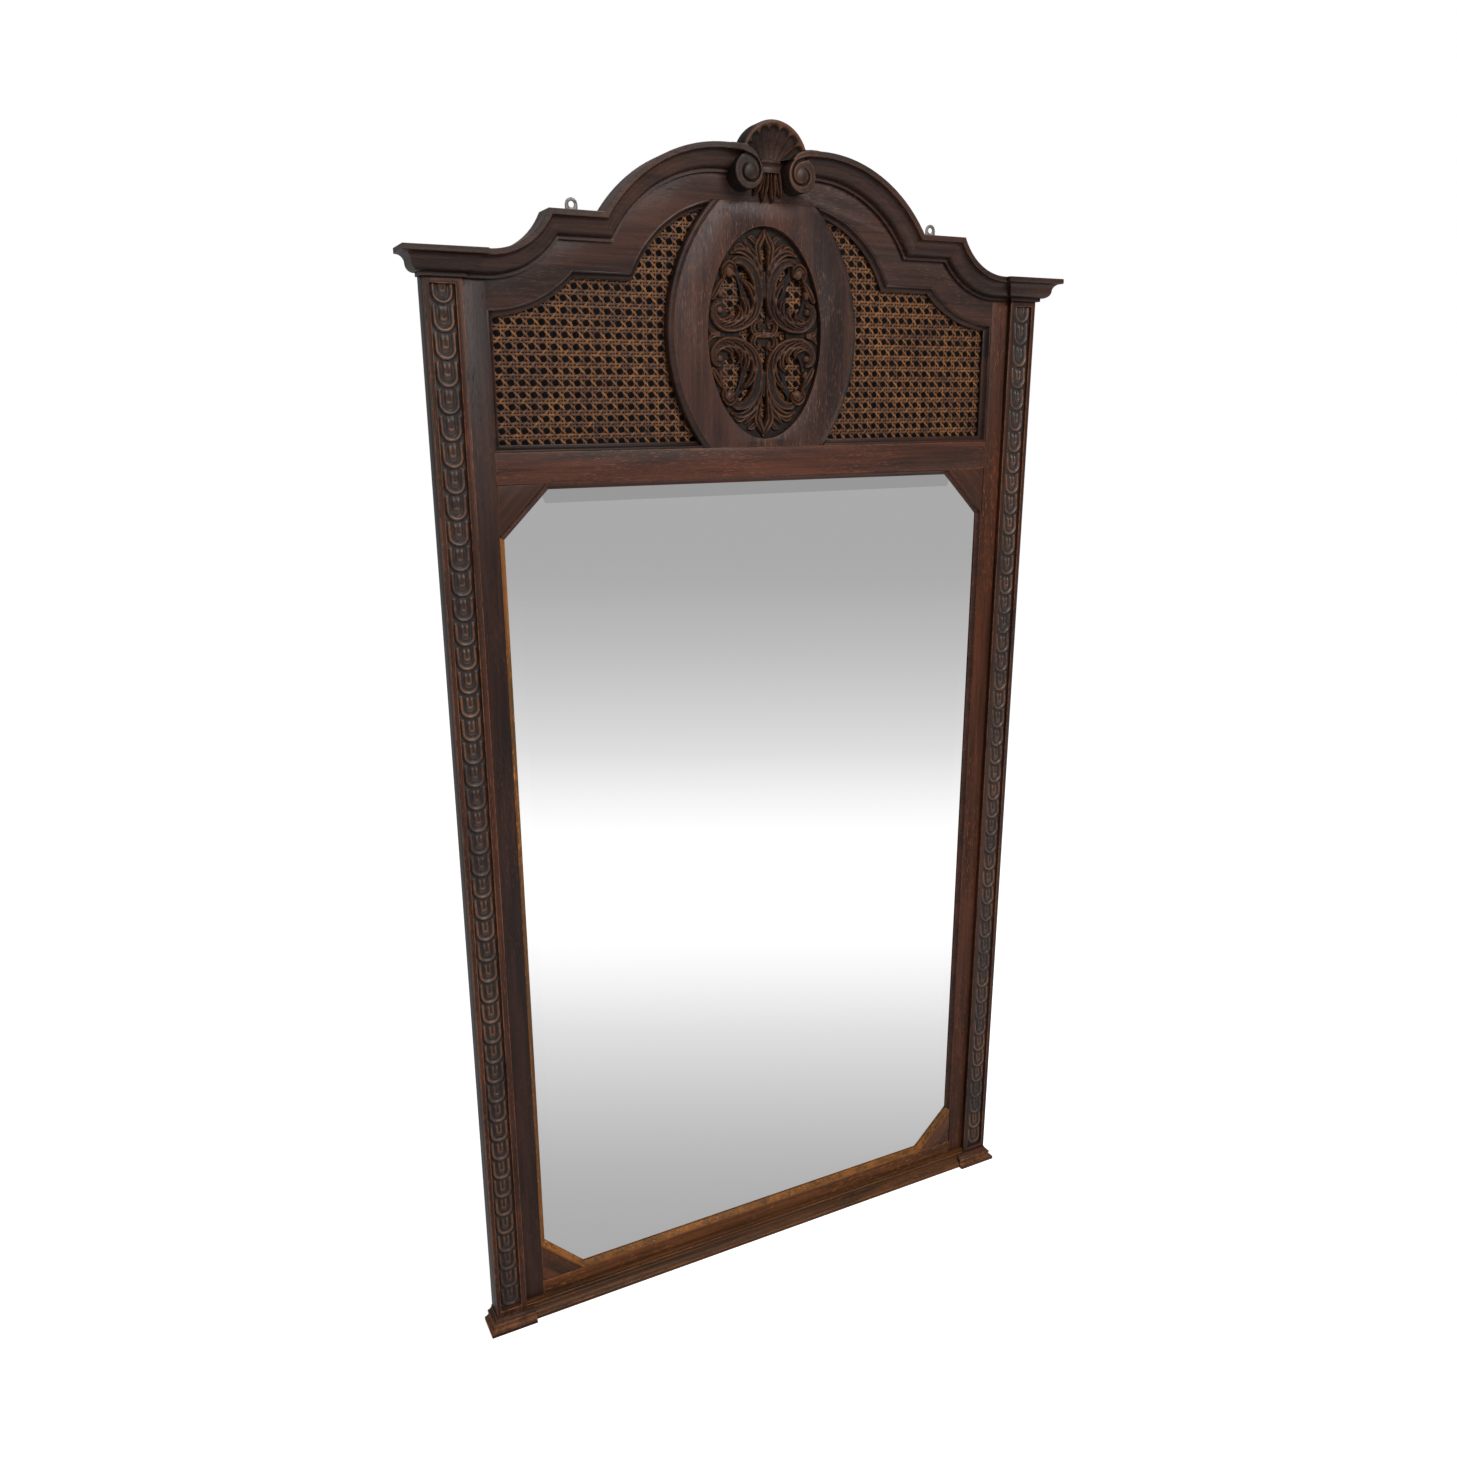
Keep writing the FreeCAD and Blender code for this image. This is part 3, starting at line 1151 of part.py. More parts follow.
def make_cornice_blocks():
    """The block that breaks forward over each pilaster and returns along both its sides."""
    block = new_body("cornice_block_right")
    inner = minus(PILASTER_IN, CORNICE_OUT)
    outer = plus(STILE_OUT, CORNICE_OUT)
    sketch = new_sketch(block, "YZ_Plane", inner)
    section = cornice_section(CORNICE_LOW, PILASTER_FRONT, flip="-")
    back = plus(FACE, "sizes.cornice_return")
    outline(sketch, [(back, CORNICE_LOW)] + section[1:-1] + [(back, CORNICE_TOP)])
    pad(block, sketch, minus(outer, inner))
    ahead = minus(PILASTER_FRONT, CORNICE_OUT, 5)
    deep = plus("sizes.pilaster_thick", CORNICE_OUT, "sizes.frame_thick", 10)
    for plane, flip in ((STILE_OUT, ""), (PILASTER_IN, "-")):
        side = cornice_section(CORNICE_LOW, plane, flip=flip)
        past = plus(plane, "%s2 * %s" % (flip, CORNICE_OUT))
        sketch = front_sketch(block, ahead)
        outline(sketch, side[1:-1] + [
            (past, side[-2][1]), (past, minus(CORNICE_LOW, 3)), (side[1][0], minus(CORNICE_LOW, 3))])
        pocket(block, sketch, deep)
    # the stile and the crest board's tenon shoulder pass up behind it
    sketch = front_sketch(block, FACE)
    rectangle(sketch, minus(inner, 5), minus(CORNICE_LOW, 5), STILE_OUT, plus(CORNICE_TOP, 5))
    pocket(block, sketch, plus("sizes.frame_thick", 5))
    return [block, mirrored("cornice_block_left", block)]


def cornice_mitre(step_x, reach):
    """The area beyond a cornice mitre, where step_x gives its x at a height up the section."""
    low = (step_x("0"), CORNICE_STEP_LOW)
    top = (step_x(CORNICE_HIGH), plus(CORNICE_STEP_LOW, CORNICE_HIGH))
    return mitre_beyond(low, top, reach)


def make_cornice_coves():
    """The hollow sweep from each block up to the step, with its short straight start."""
    cove = new_body("cornice_cove_right")
    sketch = new_sketch(cove, "YZ_Plane", STILE_IN, origin=("0", CORNICE_COVE_Z))
    outline(sketch, cornice_section("-sizes.cornice_cove_radius", FACE, flip="-"))
    radius_top = minus("sizes.cornice_cove_radius", CORNICE_HIGH)
    revolve(cove, sketch, "H_Axis", "acos((%s - sizes.cornice_step_rise) / %s) + 3 deg" % (
        radius_top, radius_top))
    sketch = new_sketch(cove, "YZ_Plane", STILE_IN)
    outline(sketch, cornice_section(CORNICE_LOW, FACE, flip="-"))
    pad(cove, sketch, minus(PILASTER_IN, STILE_IN))
    cut_ahead(cove, cornice_mitre(cornice_step_x, -60))
    # the pilaster block's inner return takes its place at the outer end
    side = cornice_section(CORNICE_LOW, PILASTER_IN, flip="-")
    far = plus(PILASTER_IN, 20)
    cut_ahead(cove, side[1:] + [(far, CORNICE_TOP), (far, minus(CORNICE_LOW, 1)),
                                (side[1][0], minus(CORNICE_LOW, 1))])
    return [cove, mirrored("cornice_cove_left", cove)]


def make_cornice_steps():
    step = new_body("cornice_step_right")
    start = minus(cornice_arch_x(), 20)
    sketch = new_sketch(step, "YZ_Plane", start)
    outline(sketch, cornice_section(CORNICE_STEP_LOW, FACE, flip="-"))
    pad(step, sketch, plus(minus(cornice_step_x(CORNICE_HIGH), start), 20))
    cut_ahead(step, cornice_mitre(cornice_arch_x, -60))
    cut_ahead(step, cornice_mitre(cornice_step_x, 60))
    return [step, mirrored("cornice_step_left", step)]


def make_cornice_arches():
    """The rising sweep from the step to the volute."""
    arch = new_body("cornice_arch_right")
    sketch = new_sketch(arch, "YZ_Plane", "sizes.cornice_arch_offset", origin=("0", CORNICE_ARCH_Z))
    outline(sketch, cornice_section("sizes.cornice_arch_radius", FACE, flip="-"))
    revolve(arch, sketch, "H_Axis", "acos(sizes.cornice_arch_drop / sizes.cornice_arch_radius) + 3 deg")
    sketch = new_sketch(arch, "YZ_Plane", "sizes.volute_start")
    outline(sketch, cornice_section(plus(CORNICE_ARCH_Z, "sizes.cornice_arch_radius"), FACE, flip="-"))
    pad(arch, sketch, minus("sizes.cornice_arch_offset", "sizes.volute_start"))
    cut_ahead(arch, cornice_mitre(cornice_arch_x, 60))
    return [arch, mirrored("cornice_arch_left", arch)]


# Volutes: quarter turns of shrinking radius, each starting where the last one ends

def spiral(start_x, start_z, radii):
    """Quarter turns for the right volute, from the top over to the left and round."""
    x, z = start_x, minus(start_z, radii[0])
    quarters = []
    for turn, radius in enumerate(radii):
        if turn > 0:
            change = minus(radii[turn - 1], radius)
            if turn % 4 == 1:
                x = minus(x, change)
            elif turn % 4 == 2:
                z = minus(z, change)
            elif turn % 4 == 3:
                x = plus(x, change)
            else:
                z = plus(z, change)
        quarters.append(flats(x, z, radius, 90 + 90 * turn, 180 + 90 * turn, 4))
    return quarters


def make_volutes():
    volute = new_body("volute_right")
    radii = ["sizes.volute_turn_%d" % turn for turn in range(1, 8)]
    turns = spiral("sizes.volute_centre", CREST_TOP, radii)
    foot = turns[2][-1][1]
    sketch = front_sketch(volute, FACE)
    outline(sketch, [("sizes.volute_start", CREST_TOP)] + turns[0] + turns[1][1:] + turns[2][1:] + [
        ("sizes.volute_start", foot)])
    pad(volute, sketch, CORNICE_OUT)
    # the sunk channel between the band and the eye
    band = "sizes.volute_band"
    inner = spiral("sizes.volute_centre", minus(CREST_TOP, band),
                   [minus(radius, band) for radius in radii[:3]])
    eye = turns[3] + turns[4][1:] + turns[5][1:] + turns[6][1:]
    channel = [("sizes.volute_start + 5", minus(CREST_TOP, band))]
    channel += inner[0] + inner[1][1:] + inner[2][1:]
    channel += eye[::-1] + [("sizes.volute_start + 5", foot)]
    sketch = front_sketch(volute, minus(FACE, CORNICE_OUT))
    outline(sketch, channel)
    pocket(volute, sketch, "sizes.volute_sink")
    return [volute, mirrored("volute_left", volute)]


# Shell crest

def make_shell():
    """A dished fan with flutes gouged in it, over a collar and a tuft of leaves."""
    shell = new_body("shell_crest")
    rim_front = minus(FACE, "sizes.shell_rim_out")
    hub_front = minus(FACE, "sizes.shell_hub_out")
    sketch = new_sketch(shell, "YZ_Plane", "0", origin=("0", SHELL_Z))
    outline(sketch, [
        (FACE, "sizes.shell_hub"), (FACE, "sizes.shell_back_rise"),
        (plus(rim_front, "sizes.shell_rim_thick"), "sizes.shell_radius"),
        (rim_front, "sizes.shell_radius"), (hub_front, "sizes.shell_hub")])
    spread = "(2 * sizes.flutes_each_side * sizes.flute_pitch_angle + sizes.flute_pitch_angle)"
    revolve(shell, sketch, "H_Axis", spread + " * 1 deg", symmetric=True)

    # one flute, gouged deeper from the hub to the rim, then fanned both ways
    plane = [feature for feature in shell.Origin.OriginFeatures if feature.Role == "XY_Plane"][0]
    run = "(sizes.shell_radius - sizes.shell_hub)"
    lean = "atan((sizes.shell_rim_out - sizes.shell_hub_out - sizes.flute_deep) / %s)" % run
    flute = shell.newObject("PartDesign::SubtractivePrism", "Flute")
    flute.AttachmentSupport = (plane, [""])
    flute.MapMode = "FlatFace"
    flute.AttachmentOffset = FreeCAD.Placement(
        FreeCAD.Vector(0, 0, 0), FreeCAD.Rotation(FreeCAD.Vector(1, 0, 0), value(lean)))
    flute.setExpression(".AttachmentOffset.Rotation.Angle", lean)
    flute.setExpression(".AttachmentOffset.Base.y", minus(hub_front, "sizes.gouge_radius"))
    flute.setExpression(".AttachmentOffset.Base.z", plus(SHELL_Z, "sizes.shell_hub"))
    flute.Polygon = 8
    flute.setExpression("Circumradius", "sizes.gouge_radius")
    flute.setExpression("Height", "2 * " + run)
    doc.recompute()
    centre = front_sketch(shell, "0")
    centre.setExpression(".AttachmentOffset.Base.y", SHELL_Z)
    for reverse in (False, True):
        pattern = shell.newObject("PartDesign::PolarPattern", "PolarPattern")
        pattern.Originals = [flute]
        pattern.Axis = (centre, ["N_Axis"])
        pattern.Reversed = reverse
        pattern.setExpression("Angle", "sizes.flutes_each_side * sizes.flute_pitch_angle * 1 deg")
        pattern.setExpression("Occurrences", "sizes.flutes_each_side + 1")
        shell.Tip = pattern
        doc.recompute()

    # coped to the round tops of the volutes
    sketch = front_sketch(shell, minus(FACE, CORNICE_OUT))
    for side in ("", "-"):
        circle(sketch, side + "sizes.volute_centre", VOLUTE_Z,
               plus("sizes.volute_turn_1", "sizes.carving_gap"))
    pocket(shell, sketch, plus(CORNICE_OUT, 5))

    half = "sizes.collar_width / 2"
    sketch = front_sketch(shell, FACE)
    rectangle(sketch, "-" + half, minus(SHELL_Z, "sizes.collar_high"), half,
              plus(SHELL_Z, "sizes.shell_hub"))
    pad(shell, sketch, "sizes.collar_out")

    root = minus(SHELL_Z, "0.9 * sizes.collar_high")
    wide = "sizes.leaf_half_width"
    long = "sizes.leaf_long"

    def hang(share):
        return minus(root, "%s * %s" % (share, long))
    right = [("0", hang(0.74)), ("0.34 * " + wide, hang(1)), ("0.6 * " + wide, hang(0.72)),
             ("0.93 * " + wide, hang(0.88)), (wide, hang(0.6), "1.6 * " + wide, "right"),
             ("0.5 * " + wide, root)]
    left = [("-0.5 * " + wide, root, "1.6 * " + wide, "right"), ("-" + wide, hang(0.6)),
            ("-0.93 * " + wide, hang(0.88)), ("-0.6 * " + wide, hang(0.72)),
            ("-0.34 * " + wide, hang(1))]
    sketch = front_sketch(shell, FACE)
    outline(sketch, right + left)
    pad(shell, sketch, "sizes.leaf_out")
    return [shell]


# Hanging eyes and screws

def make_eyes():
    """Flat iron eyes on the crest board's back, their rings standing above the cornice."""
    made = []
    ring = "sizes.eye_ring_radius"
    low = minus(EYE_Z, "sizes.eye_plate_long")
    for label, x in zip(("hanging_eye_left", "hanging_eye_right"), EYE_X):
        eye = new_body(label)
        sketch = front_sketch(eye, plus(REBATE, "sizes.eye_plate_thick"))
        outline(sketch, [
            (minus(x, ring), low), (plus(x, ring), low)] + flats(x, EYE_Z, ring, 0, 180, 6))
        pad(eye, sketch, "sizes.eye_plate_thick")
        sketch = front_sketch(eye, REBATE)
        circle(sketch, x, EYE_Z, "sizes.eye_hole_radius")
        for z in eye_screw_heights():
            circle(sketch, x, z, plus("sizes.eye_screw_radius", "sizes.fit_gap"))
        pocket(eye, sketch, plus("sizes.eye_plate_thick", 1))
        made.append(eye)
    return made


def screw_shape(head_radius, shank_radius, long):
    """A screw driven towards the front, the underside of its head at y = 0, both in flats."""
    parts = []
    for radius, start, end in ((head_radius, value("sizes.screw_head_high"), 0), (shank_radius, 0, -long)):
        corners = [FreeCAD.Vector(radius * math.cos(turn * math.pi / 6), start,
                                  radius * math.sin(turn * math.pi / 6)) for turn in range(13)]
        face = Part.Face(Part.makePolygon(corners))
        parts.append(face.extrude(FreeCAD.Vector(0, end - start, 0)))
    return parts[0].fuse(parts[1])


def screw_group(label, shape, y, places):
    """Identical screws as one node of separate solids, at x and z places."""
    copies = []
    for x, z in places:
        copy = shape.copy()
        copy.translate(FreeCAD.Vector(value(x), value(y), value(z)))
        copies.append(copy)
    piece = doc.addObject("Part::Feature", label)
    piece.Label = label
    piece.Shape = Part.makeCompound(copies)
    return piece


def make_screws():
    board_screw = screw_shape(value("sizes.board_screw_head"), value("sizes.board_screw_radius"),
                              value("sizes.board_screw_long"))
    eye_screw = screw_shape(value("sizes.eye_screw_head"), value("sizes.eye_screw_radius"),
                            value("sizes.eye_screw_long"))
    return [
        screw_group("board_screws", board_screw, plus(REBATE, "sizes.backboard_thick"),
                    [(side + x, z) for side in ("", "-") for x, z in board_screw_places()]),
        screw_group("eye_screws", eye_screw, plus(REBATE, "sizes.eye_plate_thick"),
                    [(x, z) for x in EYE_X for z in eye_screw_heights()])]


PIECES = []
for make in (
        make_stiles, make_rails, make_crest_board, make_splat, make_splat_beads,
        make_window_beads, make_carving, make_glazing, make_glass, make_boards, make_cane,
        make_pilasters, make_scale_strips, make_plinths, make_base_moulding,
        make_cornice_blocks, make_cornice_coves, make_cornice_steps, make_cornice_arches,
        make_volutes, make_shell, make_eyes, make_screws):
    PIECES += make()
doc.recompute()

for item in doc.Objects:
    if "Invalid" in item.State or "Error" in item.State:
        raise RuntimeError("%s of %s failed: %s" % (item.Name, item.Label, item.State))
labels = [piece.Label for piece in PIECES]
if len(set(labels)) != len(labels):
    raise RuntimeError("two pieces share a name")
for piece in PIECES:
    if piece.Shape.isNull() or not piece.Shape.isValid() or not piece.Shape.Solids:
        raise RuntimeError("no sound solid in " + piece.Label)
    if len(piece.Shape.Solids) > 1 and not piece.Label.endswith("screws"):
        raise RuntimeError("%s came out as %d solids" % (piece.Label, len(piece.Shape.Solids)))

os.makedirs("parts", exist_ok=True)
for piece in PIECES:
    piece.Shape.exportStep(os.path.join("parts", piece.Label + ".step"))
print(len(PIECES), "pieces written")
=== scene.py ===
"""Looks for a tall carved oak mirror: cane behind half-round windows, scale pilasters, shell crest.

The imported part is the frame. This script eases the boards' edges, runs the mouldings, carves the
oval, the scales, the volutes and the shell, weaves the cane and gives every surface its finish.
"""

import math

import bpy
import numpy as np
from mathutils import Matrix, Vector


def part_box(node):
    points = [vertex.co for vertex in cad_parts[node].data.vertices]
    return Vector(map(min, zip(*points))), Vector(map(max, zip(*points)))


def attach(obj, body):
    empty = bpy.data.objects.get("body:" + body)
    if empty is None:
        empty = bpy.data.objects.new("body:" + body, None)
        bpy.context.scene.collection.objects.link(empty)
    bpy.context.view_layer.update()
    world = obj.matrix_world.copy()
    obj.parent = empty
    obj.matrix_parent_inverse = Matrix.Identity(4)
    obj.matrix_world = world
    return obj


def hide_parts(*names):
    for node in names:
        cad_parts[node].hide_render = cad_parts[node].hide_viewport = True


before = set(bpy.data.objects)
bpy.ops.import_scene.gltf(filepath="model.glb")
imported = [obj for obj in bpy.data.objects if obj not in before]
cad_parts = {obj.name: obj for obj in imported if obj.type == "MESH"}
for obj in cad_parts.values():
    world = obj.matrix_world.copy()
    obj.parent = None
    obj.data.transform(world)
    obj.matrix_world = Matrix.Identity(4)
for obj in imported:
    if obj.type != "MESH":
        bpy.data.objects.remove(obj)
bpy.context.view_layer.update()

bl_info = {
    "name": "Carved oak mirror",
    "version": (1, 0, 0),
    "blender": (4, 5, 0),
    "location": "View3D > Sidebar > Mirror",
    "description": "Builds the carved oak mirror's visible pieces around its packed frame",
    "category": "Object",
}


MM = 0.001
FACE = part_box("stile_left")[0].y
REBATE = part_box("cane_panel")[0].y
STILE_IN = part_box("stile_right")[0].x
RAIL_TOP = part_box("window_bead_rail_right")[0].z
SPLAT_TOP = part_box("splat_bead_right")[1].z
CORNICE_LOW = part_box("cornice_block_right")[0].z
CORNICE_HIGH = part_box("cornice_block_right")[1].z - CORNICE_LOW
CREST_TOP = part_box("cornice_arch_right")[1].z
CORNICE_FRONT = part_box("cornice_arch_right")[0].y
SIDES = ("left", "right")
ENDS = ("top", "bottom")
EDGE_ANGLE = math.radians(40)
FINE_EDGE = 0.35 * MM
SPLAT_EDGE = 0.4 * MM


# Sizes and colours

def length_field(name, description, millimetres):
    return bpy.props.FloatProperty(
        name=name, description=description, default=millimetres * MM, unit="LENGTH")


def colour_field(name, description, shade):
    return bpy.props.FloatVectorProperty(
        name=name, description=description, default=shade, size=3, subtype="COLOR")


class MirrorSizes(bpy.types.PropertyGroup):
    """Sizes of what is carved, woven and run in the workshop."""

    board_edge: length_field("Board edge", "Width of the rubbed edge of each board", 0.9)
    window_arch_x: length_field("Arch centre out", "Distance of the arch's centre from the middle", 45)
    window_arch_z: length_field("Arch centre height", "Height of the window arch's centre", 1343)
    window_arch_radius: length_field("Arch radius", "Radius of the window's arch", 150)
    window_cove_z: length_field("Cove centre height", "Height of the hollow corner's centre", 1498)
    window_cove_radius: length_field("Cove radius", "Radius of the window's hollow corner", 140)
    window_step_z: length_field("Step height", "Height of the window's level step", 1403)
    splat_radius: length_field("Splat side radius", "Radius of the crest panel's bowed sides", 223)
    splat_centre_x: length_field("Splat side centre", "Centre of the right side's bow", -88)
    oval_z: length_field("Oval height", "Height of the oval's centre", 1337)
    oval_width: length_field("Oval width", "Width of the carved oval", 161.4)
    oval_high: length_field("Oval height over all", "Height of the carved oval over all", 253.4)
    cane_pitch: length_field("Cane pitch", "Distance between the holes of the weave", 13.6)
    scale_pitch: length_field("Scale pitch", "Distance from one carved scale to the next", 29.5)
    carving_step: length_field("Carving detail", "Distance between the points of the carved oval", 0.85)


class MirrorColours(bpy.types.PropertyGroup):
    """Colours of the finish."""

    oak_dark: colour_field("Oak, dark", "The stain where it lies deepest", (0.0180, 0.0095, 0.0075))
    oak_middle: colour_field("Oak, middle", "The stained oak's general colour", (0.0680, 0.0275, 0.0175))
    oak_light: colour_field("Oak, light", "The flecks of the oak", (0.145, 0.058, 0.026))
    oak_worn: colour_field("Oak, worn", "Edges rubbed through to bare wood", (0.250, 0.096, 0.034))
    # this colour also stands for painted shade, darkening the carvings' hollows and sunken ground
    dust_and_painted_shade: colour_field("Dust", "Dirt and old wax in the hollows", (0.0065, 0.0065, 0.0055))
    cane_light: colour_field("Cane, light", "The glossy outside of the cane", (0.29, 0.120, 0.036))
    cane_dark: colour_field("Cane, dark", "Stained stretches of the cane", (0.056, 0.025, 0.015))


def sizes():
    return bpy.context.scene.mirror_sizes


def colours():
    return bpy.context.scene.mirror_colours


# Small helpers for work by hand

def deselect():
    if bpy.context.object and bpy.context.object.mode != "OBJECT":
        bpy.ops.object.mode_set(mode="OBJECT")
    bpy.ops.object.select_all(action="DESELECT")


def pick(piece):
    """Make this piece the only one selected."""
    deselect()
    piece.select_set(True)
    bpy.context.view_layer.objects.active = piece


def edit(piece, everything=True):
    """Go into edit mode on this piece."""
    pick(piece)
    bpy.ops.object.mode_set(mode="EDIT")
    bpy.ops.mesh.select_all(action="SELECT" if everything else "DESELECT")


def leave():
    bpy.ops.object.mode_set(mode="OBJECT")


def choose(piece, mask):
    """Go into edit mode with only these faces selected."""
    edit(piece, everything=False)
    bpy.ops.mesh.select_mode(type="FACE")
    bpy.ops.mesh.select_all(action="DESELECT")
    leave()
    piece.data.polygons.foreach_set("select", mask)
    bpy.ops.object.mode_set(mode="EDIT")


def mesh_piece(name, corners, faces):
    """A new object of these corners and faces."""
    mesh = bpy.data.meshes.new(name)
    mesh.from_pydata(corners, [], faces)
    piece = bpy.data.objects.new(name, mesh)
    bpy.context.scene.collection.objects.link(piece)
    return piece


def coat(piece, finish_name):
    """Give the piece this finish and no other."""
    piece.data.materials.clear()
    piece.data.materials.append(bpy.data.materials["finish_" + finish_name])


def finish(piece, name, finish_name, nodes=(), smooth=35):
    """Name the piece, settle it at the origin, give it its finish and hang it on the frame."""
    pick(piece)
    bpy.ops.object.transform_apply(location=True, rotation=True, scale=True)
    bpy.ops.object.shade_smooth_by_angle(angle=math.radians(smooth))
    piece.name = name
    piece.data.name = name
    coat(piece, finish_name)
    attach(piece, "root")
    if nodes:
        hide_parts(*nodes)


def copy_of(node):
    """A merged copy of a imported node, its flat faces whole again."""
    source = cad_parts[node]
    piece = source.copy()
    piece.data = source.data.copy()
    for key in list(piece.keys()):
        del piece[key]
    piece.parent = None
    bpy.context.scene.collection.objects.link(piece)
    edit(piece)
    bpy.ops.mesh.remove_doubles(threshold=1e-6)
    bpy.ops.mesh.dissolve_limited(angle_limit=math.radians(0.05))
    leave()
    return piece


def eased(node, name, finish_name, width=None):
    """A board or moulding from the frame with its edges rubbed round."""
    width = width or sizes().board_edge
    piece = copy_of(node)
    pick(piece)
    bevel = piece.modifiers.new("Rubbed edge", "BEVEL")
    bevel.width = width
    bevel.segments = 2
    bevel.limit_method = "ANGLE"
    bevel.angle_limit = EDGE_ANGLE
    bpy.ops.object.modifier_apply(modifier=bevel.name)
    mark_edges(piece, width)
    finish(piece, name, finish_name, (node,), smooth=40)


def mark_worn(piece, is_worn):
    """Mark each face for which is_worn(face, its edges' lengths) holds, for the finish to wear it."""
    mesh = piece.data
    worn = mesh.attributes.new("worn", "FLOAT", "CORNER")
    for face in mesh.polygons:
        lengths = [(mesh.vertices[a].co - mesh.vertices[b].co).length for a, b in face.edge_keys]
        value = float(is_worn(face, lengths))
        for corner in face.loop_indices:
            worn.data[corner].value = value


def mark_edges(piece, width):
    """Mark the narrow faces of rubbed edges of this width."""
    mark_worn(piece, lambda face, lengths: face.area < 0.9 * width * max(lengths))


# Finishes

def feed(tree, node, values):
    """Set the node's inputs, by label or number, to plain values or to other nodes' outputs."""
    for key, value in values.items():
        socket = node.inputs[key]
        if isinstance(value, bpy.types.NodeSocket):
            tree.links.new(value, socket)
        elif socket.type == "RGBA":
            socket.default_value = (*value, 1.0)
        else:
            socket.default_value = value


def node_at(tree, kind, inputs=None, **settings):
    node = tree.nodes.new(kind)
    for key, value in settings.items():
        setattr(node, key, value)
    feed(tree, node, inputs or {})
    return node


def math_node(tree, operation, first, second, clamp=False):
    """A Math node fed by sockets or plain numbers; returns its output."""
    return node_at(tree, "ShaderNodeMath", {0: first, 1: second}, operation=operation,
                   use_clamp=clamp).outputs[0]


def times(tree, first, second, clamp=False):
    return math_node(tree, "MULTIPLY", first, second, clamp)


def plus(tree, first, second, clamp=False):
    return math_node(tree, "ADD", first, second, clamp)


def mix_colour(tree, factor, first, second, blend="MIX"):
    return node_at(tree, "ShaderNodeMix", {0: factor, 6: first, 7: second}, data_type="RGBA",
                   blend_type=blend).outputs[2]


def noise(tree, vector, scale, detail, roughness, distortion=0.0):
    return node_at(tree, "ShaderNodeTexNoise", {
        "Vector": vector, "Scale": scale, "Detail": detail, "Roughness": roughness,
        "Distortion": distortion}).outputs["Fac"]


def stretched(tree, vector, scale):
    return node_at(tree, "ShaderNodeMapping", {"Vector": vector, "Scale": scale}).outputs["Vector"]


def window(tree, value, low, high):
    """0 below low, 1 above high, smooth between."""
    return node_at(tree, "ShaderNodeMapRange", {"Value": value, "From Min": low, "From Max": high},
                   interpolation_type="SMOOTHSTEP").outputs["Result"]


def object_place(tree):
    return node_at(tree, "ShaderNodeTexCoord").outputs["Object"]


def mark(tree, name):
    """The value that the mesh carries under this name."""
    return node_at(tree, "ShaderNodeAttribute", attribute_name=name).outputs["Fac"]


def new_group(name, inputs, outputs):
    """An empty shader node group; inputs and outputs give each socket's kind by its label."""
    tree = bpy.data.node_groups.new(name, "ShaderNodeTree")
    for direction, sockets in (("INPUT", inputs), ("OUTPUT", outputs)):
        for label, kind in sockets.items():
            tree.interface.new_socket(label, in_out=direction, socket_type="NodeSocket" + kind)
    return tree, tree.nodes.new("NodeGroupInput").outputs, tree.nodes.new("NodeGroupOutput")


def oak_grain_group():
    """Stained oak, its grain along X: streaks, flecks and open pores."""
    shades = colours()
    tree, given, out = new_group("oak_grain", {"Vector": "Vector", "Fleck": "Float"},
                                 {"Color": "Color", "Rough": "Float", "Height": "Float"})
    vector = given["Vector"]
    broad = noise(tree, stretched(tree, vector, (1.2, 9, 9)), 3.0, 2.0, 0.5, 0.4)
    streak = noise(tree, stretched(tree, vector, (4, 110, 110)), 2.2, 4.0, 0.6, 0.3)
    fleck = noise(tree, stretched(tree, vector, (80, 620, 620)), 1.2, 2.0, 0.55, 0.6)
    pore = noise(tree, stretched(tree, vector, (70, 1100, 1100)), 1.6, 2.0, 0.6)
    cloud = noise(tree, vector, 6.0, 3.0, 0.55)
    tone = plus(tree, times(tree, broad, 0.55), times(tree, streak, 0.45))
    base = mix_colour(tree, window(tree, tone, 0.34, 0.68), shades.oak_dark, shades.oak_middle)
    flecks = times(tree, window(tree, fleck, 0.56, 0.68), given["Fleck"])
    flecks = times(tree, flecks, window(tree, cloud, 0.34, 0.60))
    base = mix_colour(tree, flecks, base, shades.oak_light)
    pores = window(tree, pore, 0.60, 0.70)
    base = mix_colour(tree, times(tree, pores, 0.75), base, (0.006, 0.004, 0.003))
    rough = plus(tree, times(tree, cloud, 0.22), times(tree, pores, 0.2))
    height = math_node(tree, "SUBTRACT", times(tree, streak, 0.35), times(tree, pores, 0.6))
    feed(tree, out, {"Color": base, "Rough": plus(tree, rough, 0.30), "Height": height})


def old_polish_group():
    """Wear on edges, and grime with painted shade in hollows, over any colour."""
    shades = colours()
    tree, given, out = new_group(
        "old_polish",
        {"Color": "Color", "Vector": "Vector", "Worn": "Float", "Dirt_and_shade": "Float", "Wear": "Float"},
        {"Color": "Color", "Rough": "Float"})
    patch = noise(tree, given["Vector"], 16.0, 4.0, 0.6)
    fine = noise(tree, given["Vector"], 160.0, 3.0, 0.6)
    broken = plus(tree, times(tree, patch, 0.7), times(tree, fine, 0.5))
    amount = times(tree, given["Worn"], window(tree, broken, 0.42, 0.78))
    amount = times(tree, amount, given["Wear"], clamp=True)
    colour = mix_colour(tree, amount, given["Color"], shades.oak_worn)
    # hollows are darkened towards the near-black colour: painted shade, with some real grime
    dust_and_shade = times(tree, given["Dirt_and_shade"], window(tree, fine, 0.2, 0.6), clamp=True)
    colour = mix_colour(tree, times(tree, dust_and_shade, 0.85), colour, shades.dust_and_painted_shade)
    feed(tree, out, {"Color": colour, "Rough": times(tree, dust_and_shade, 0.3)})


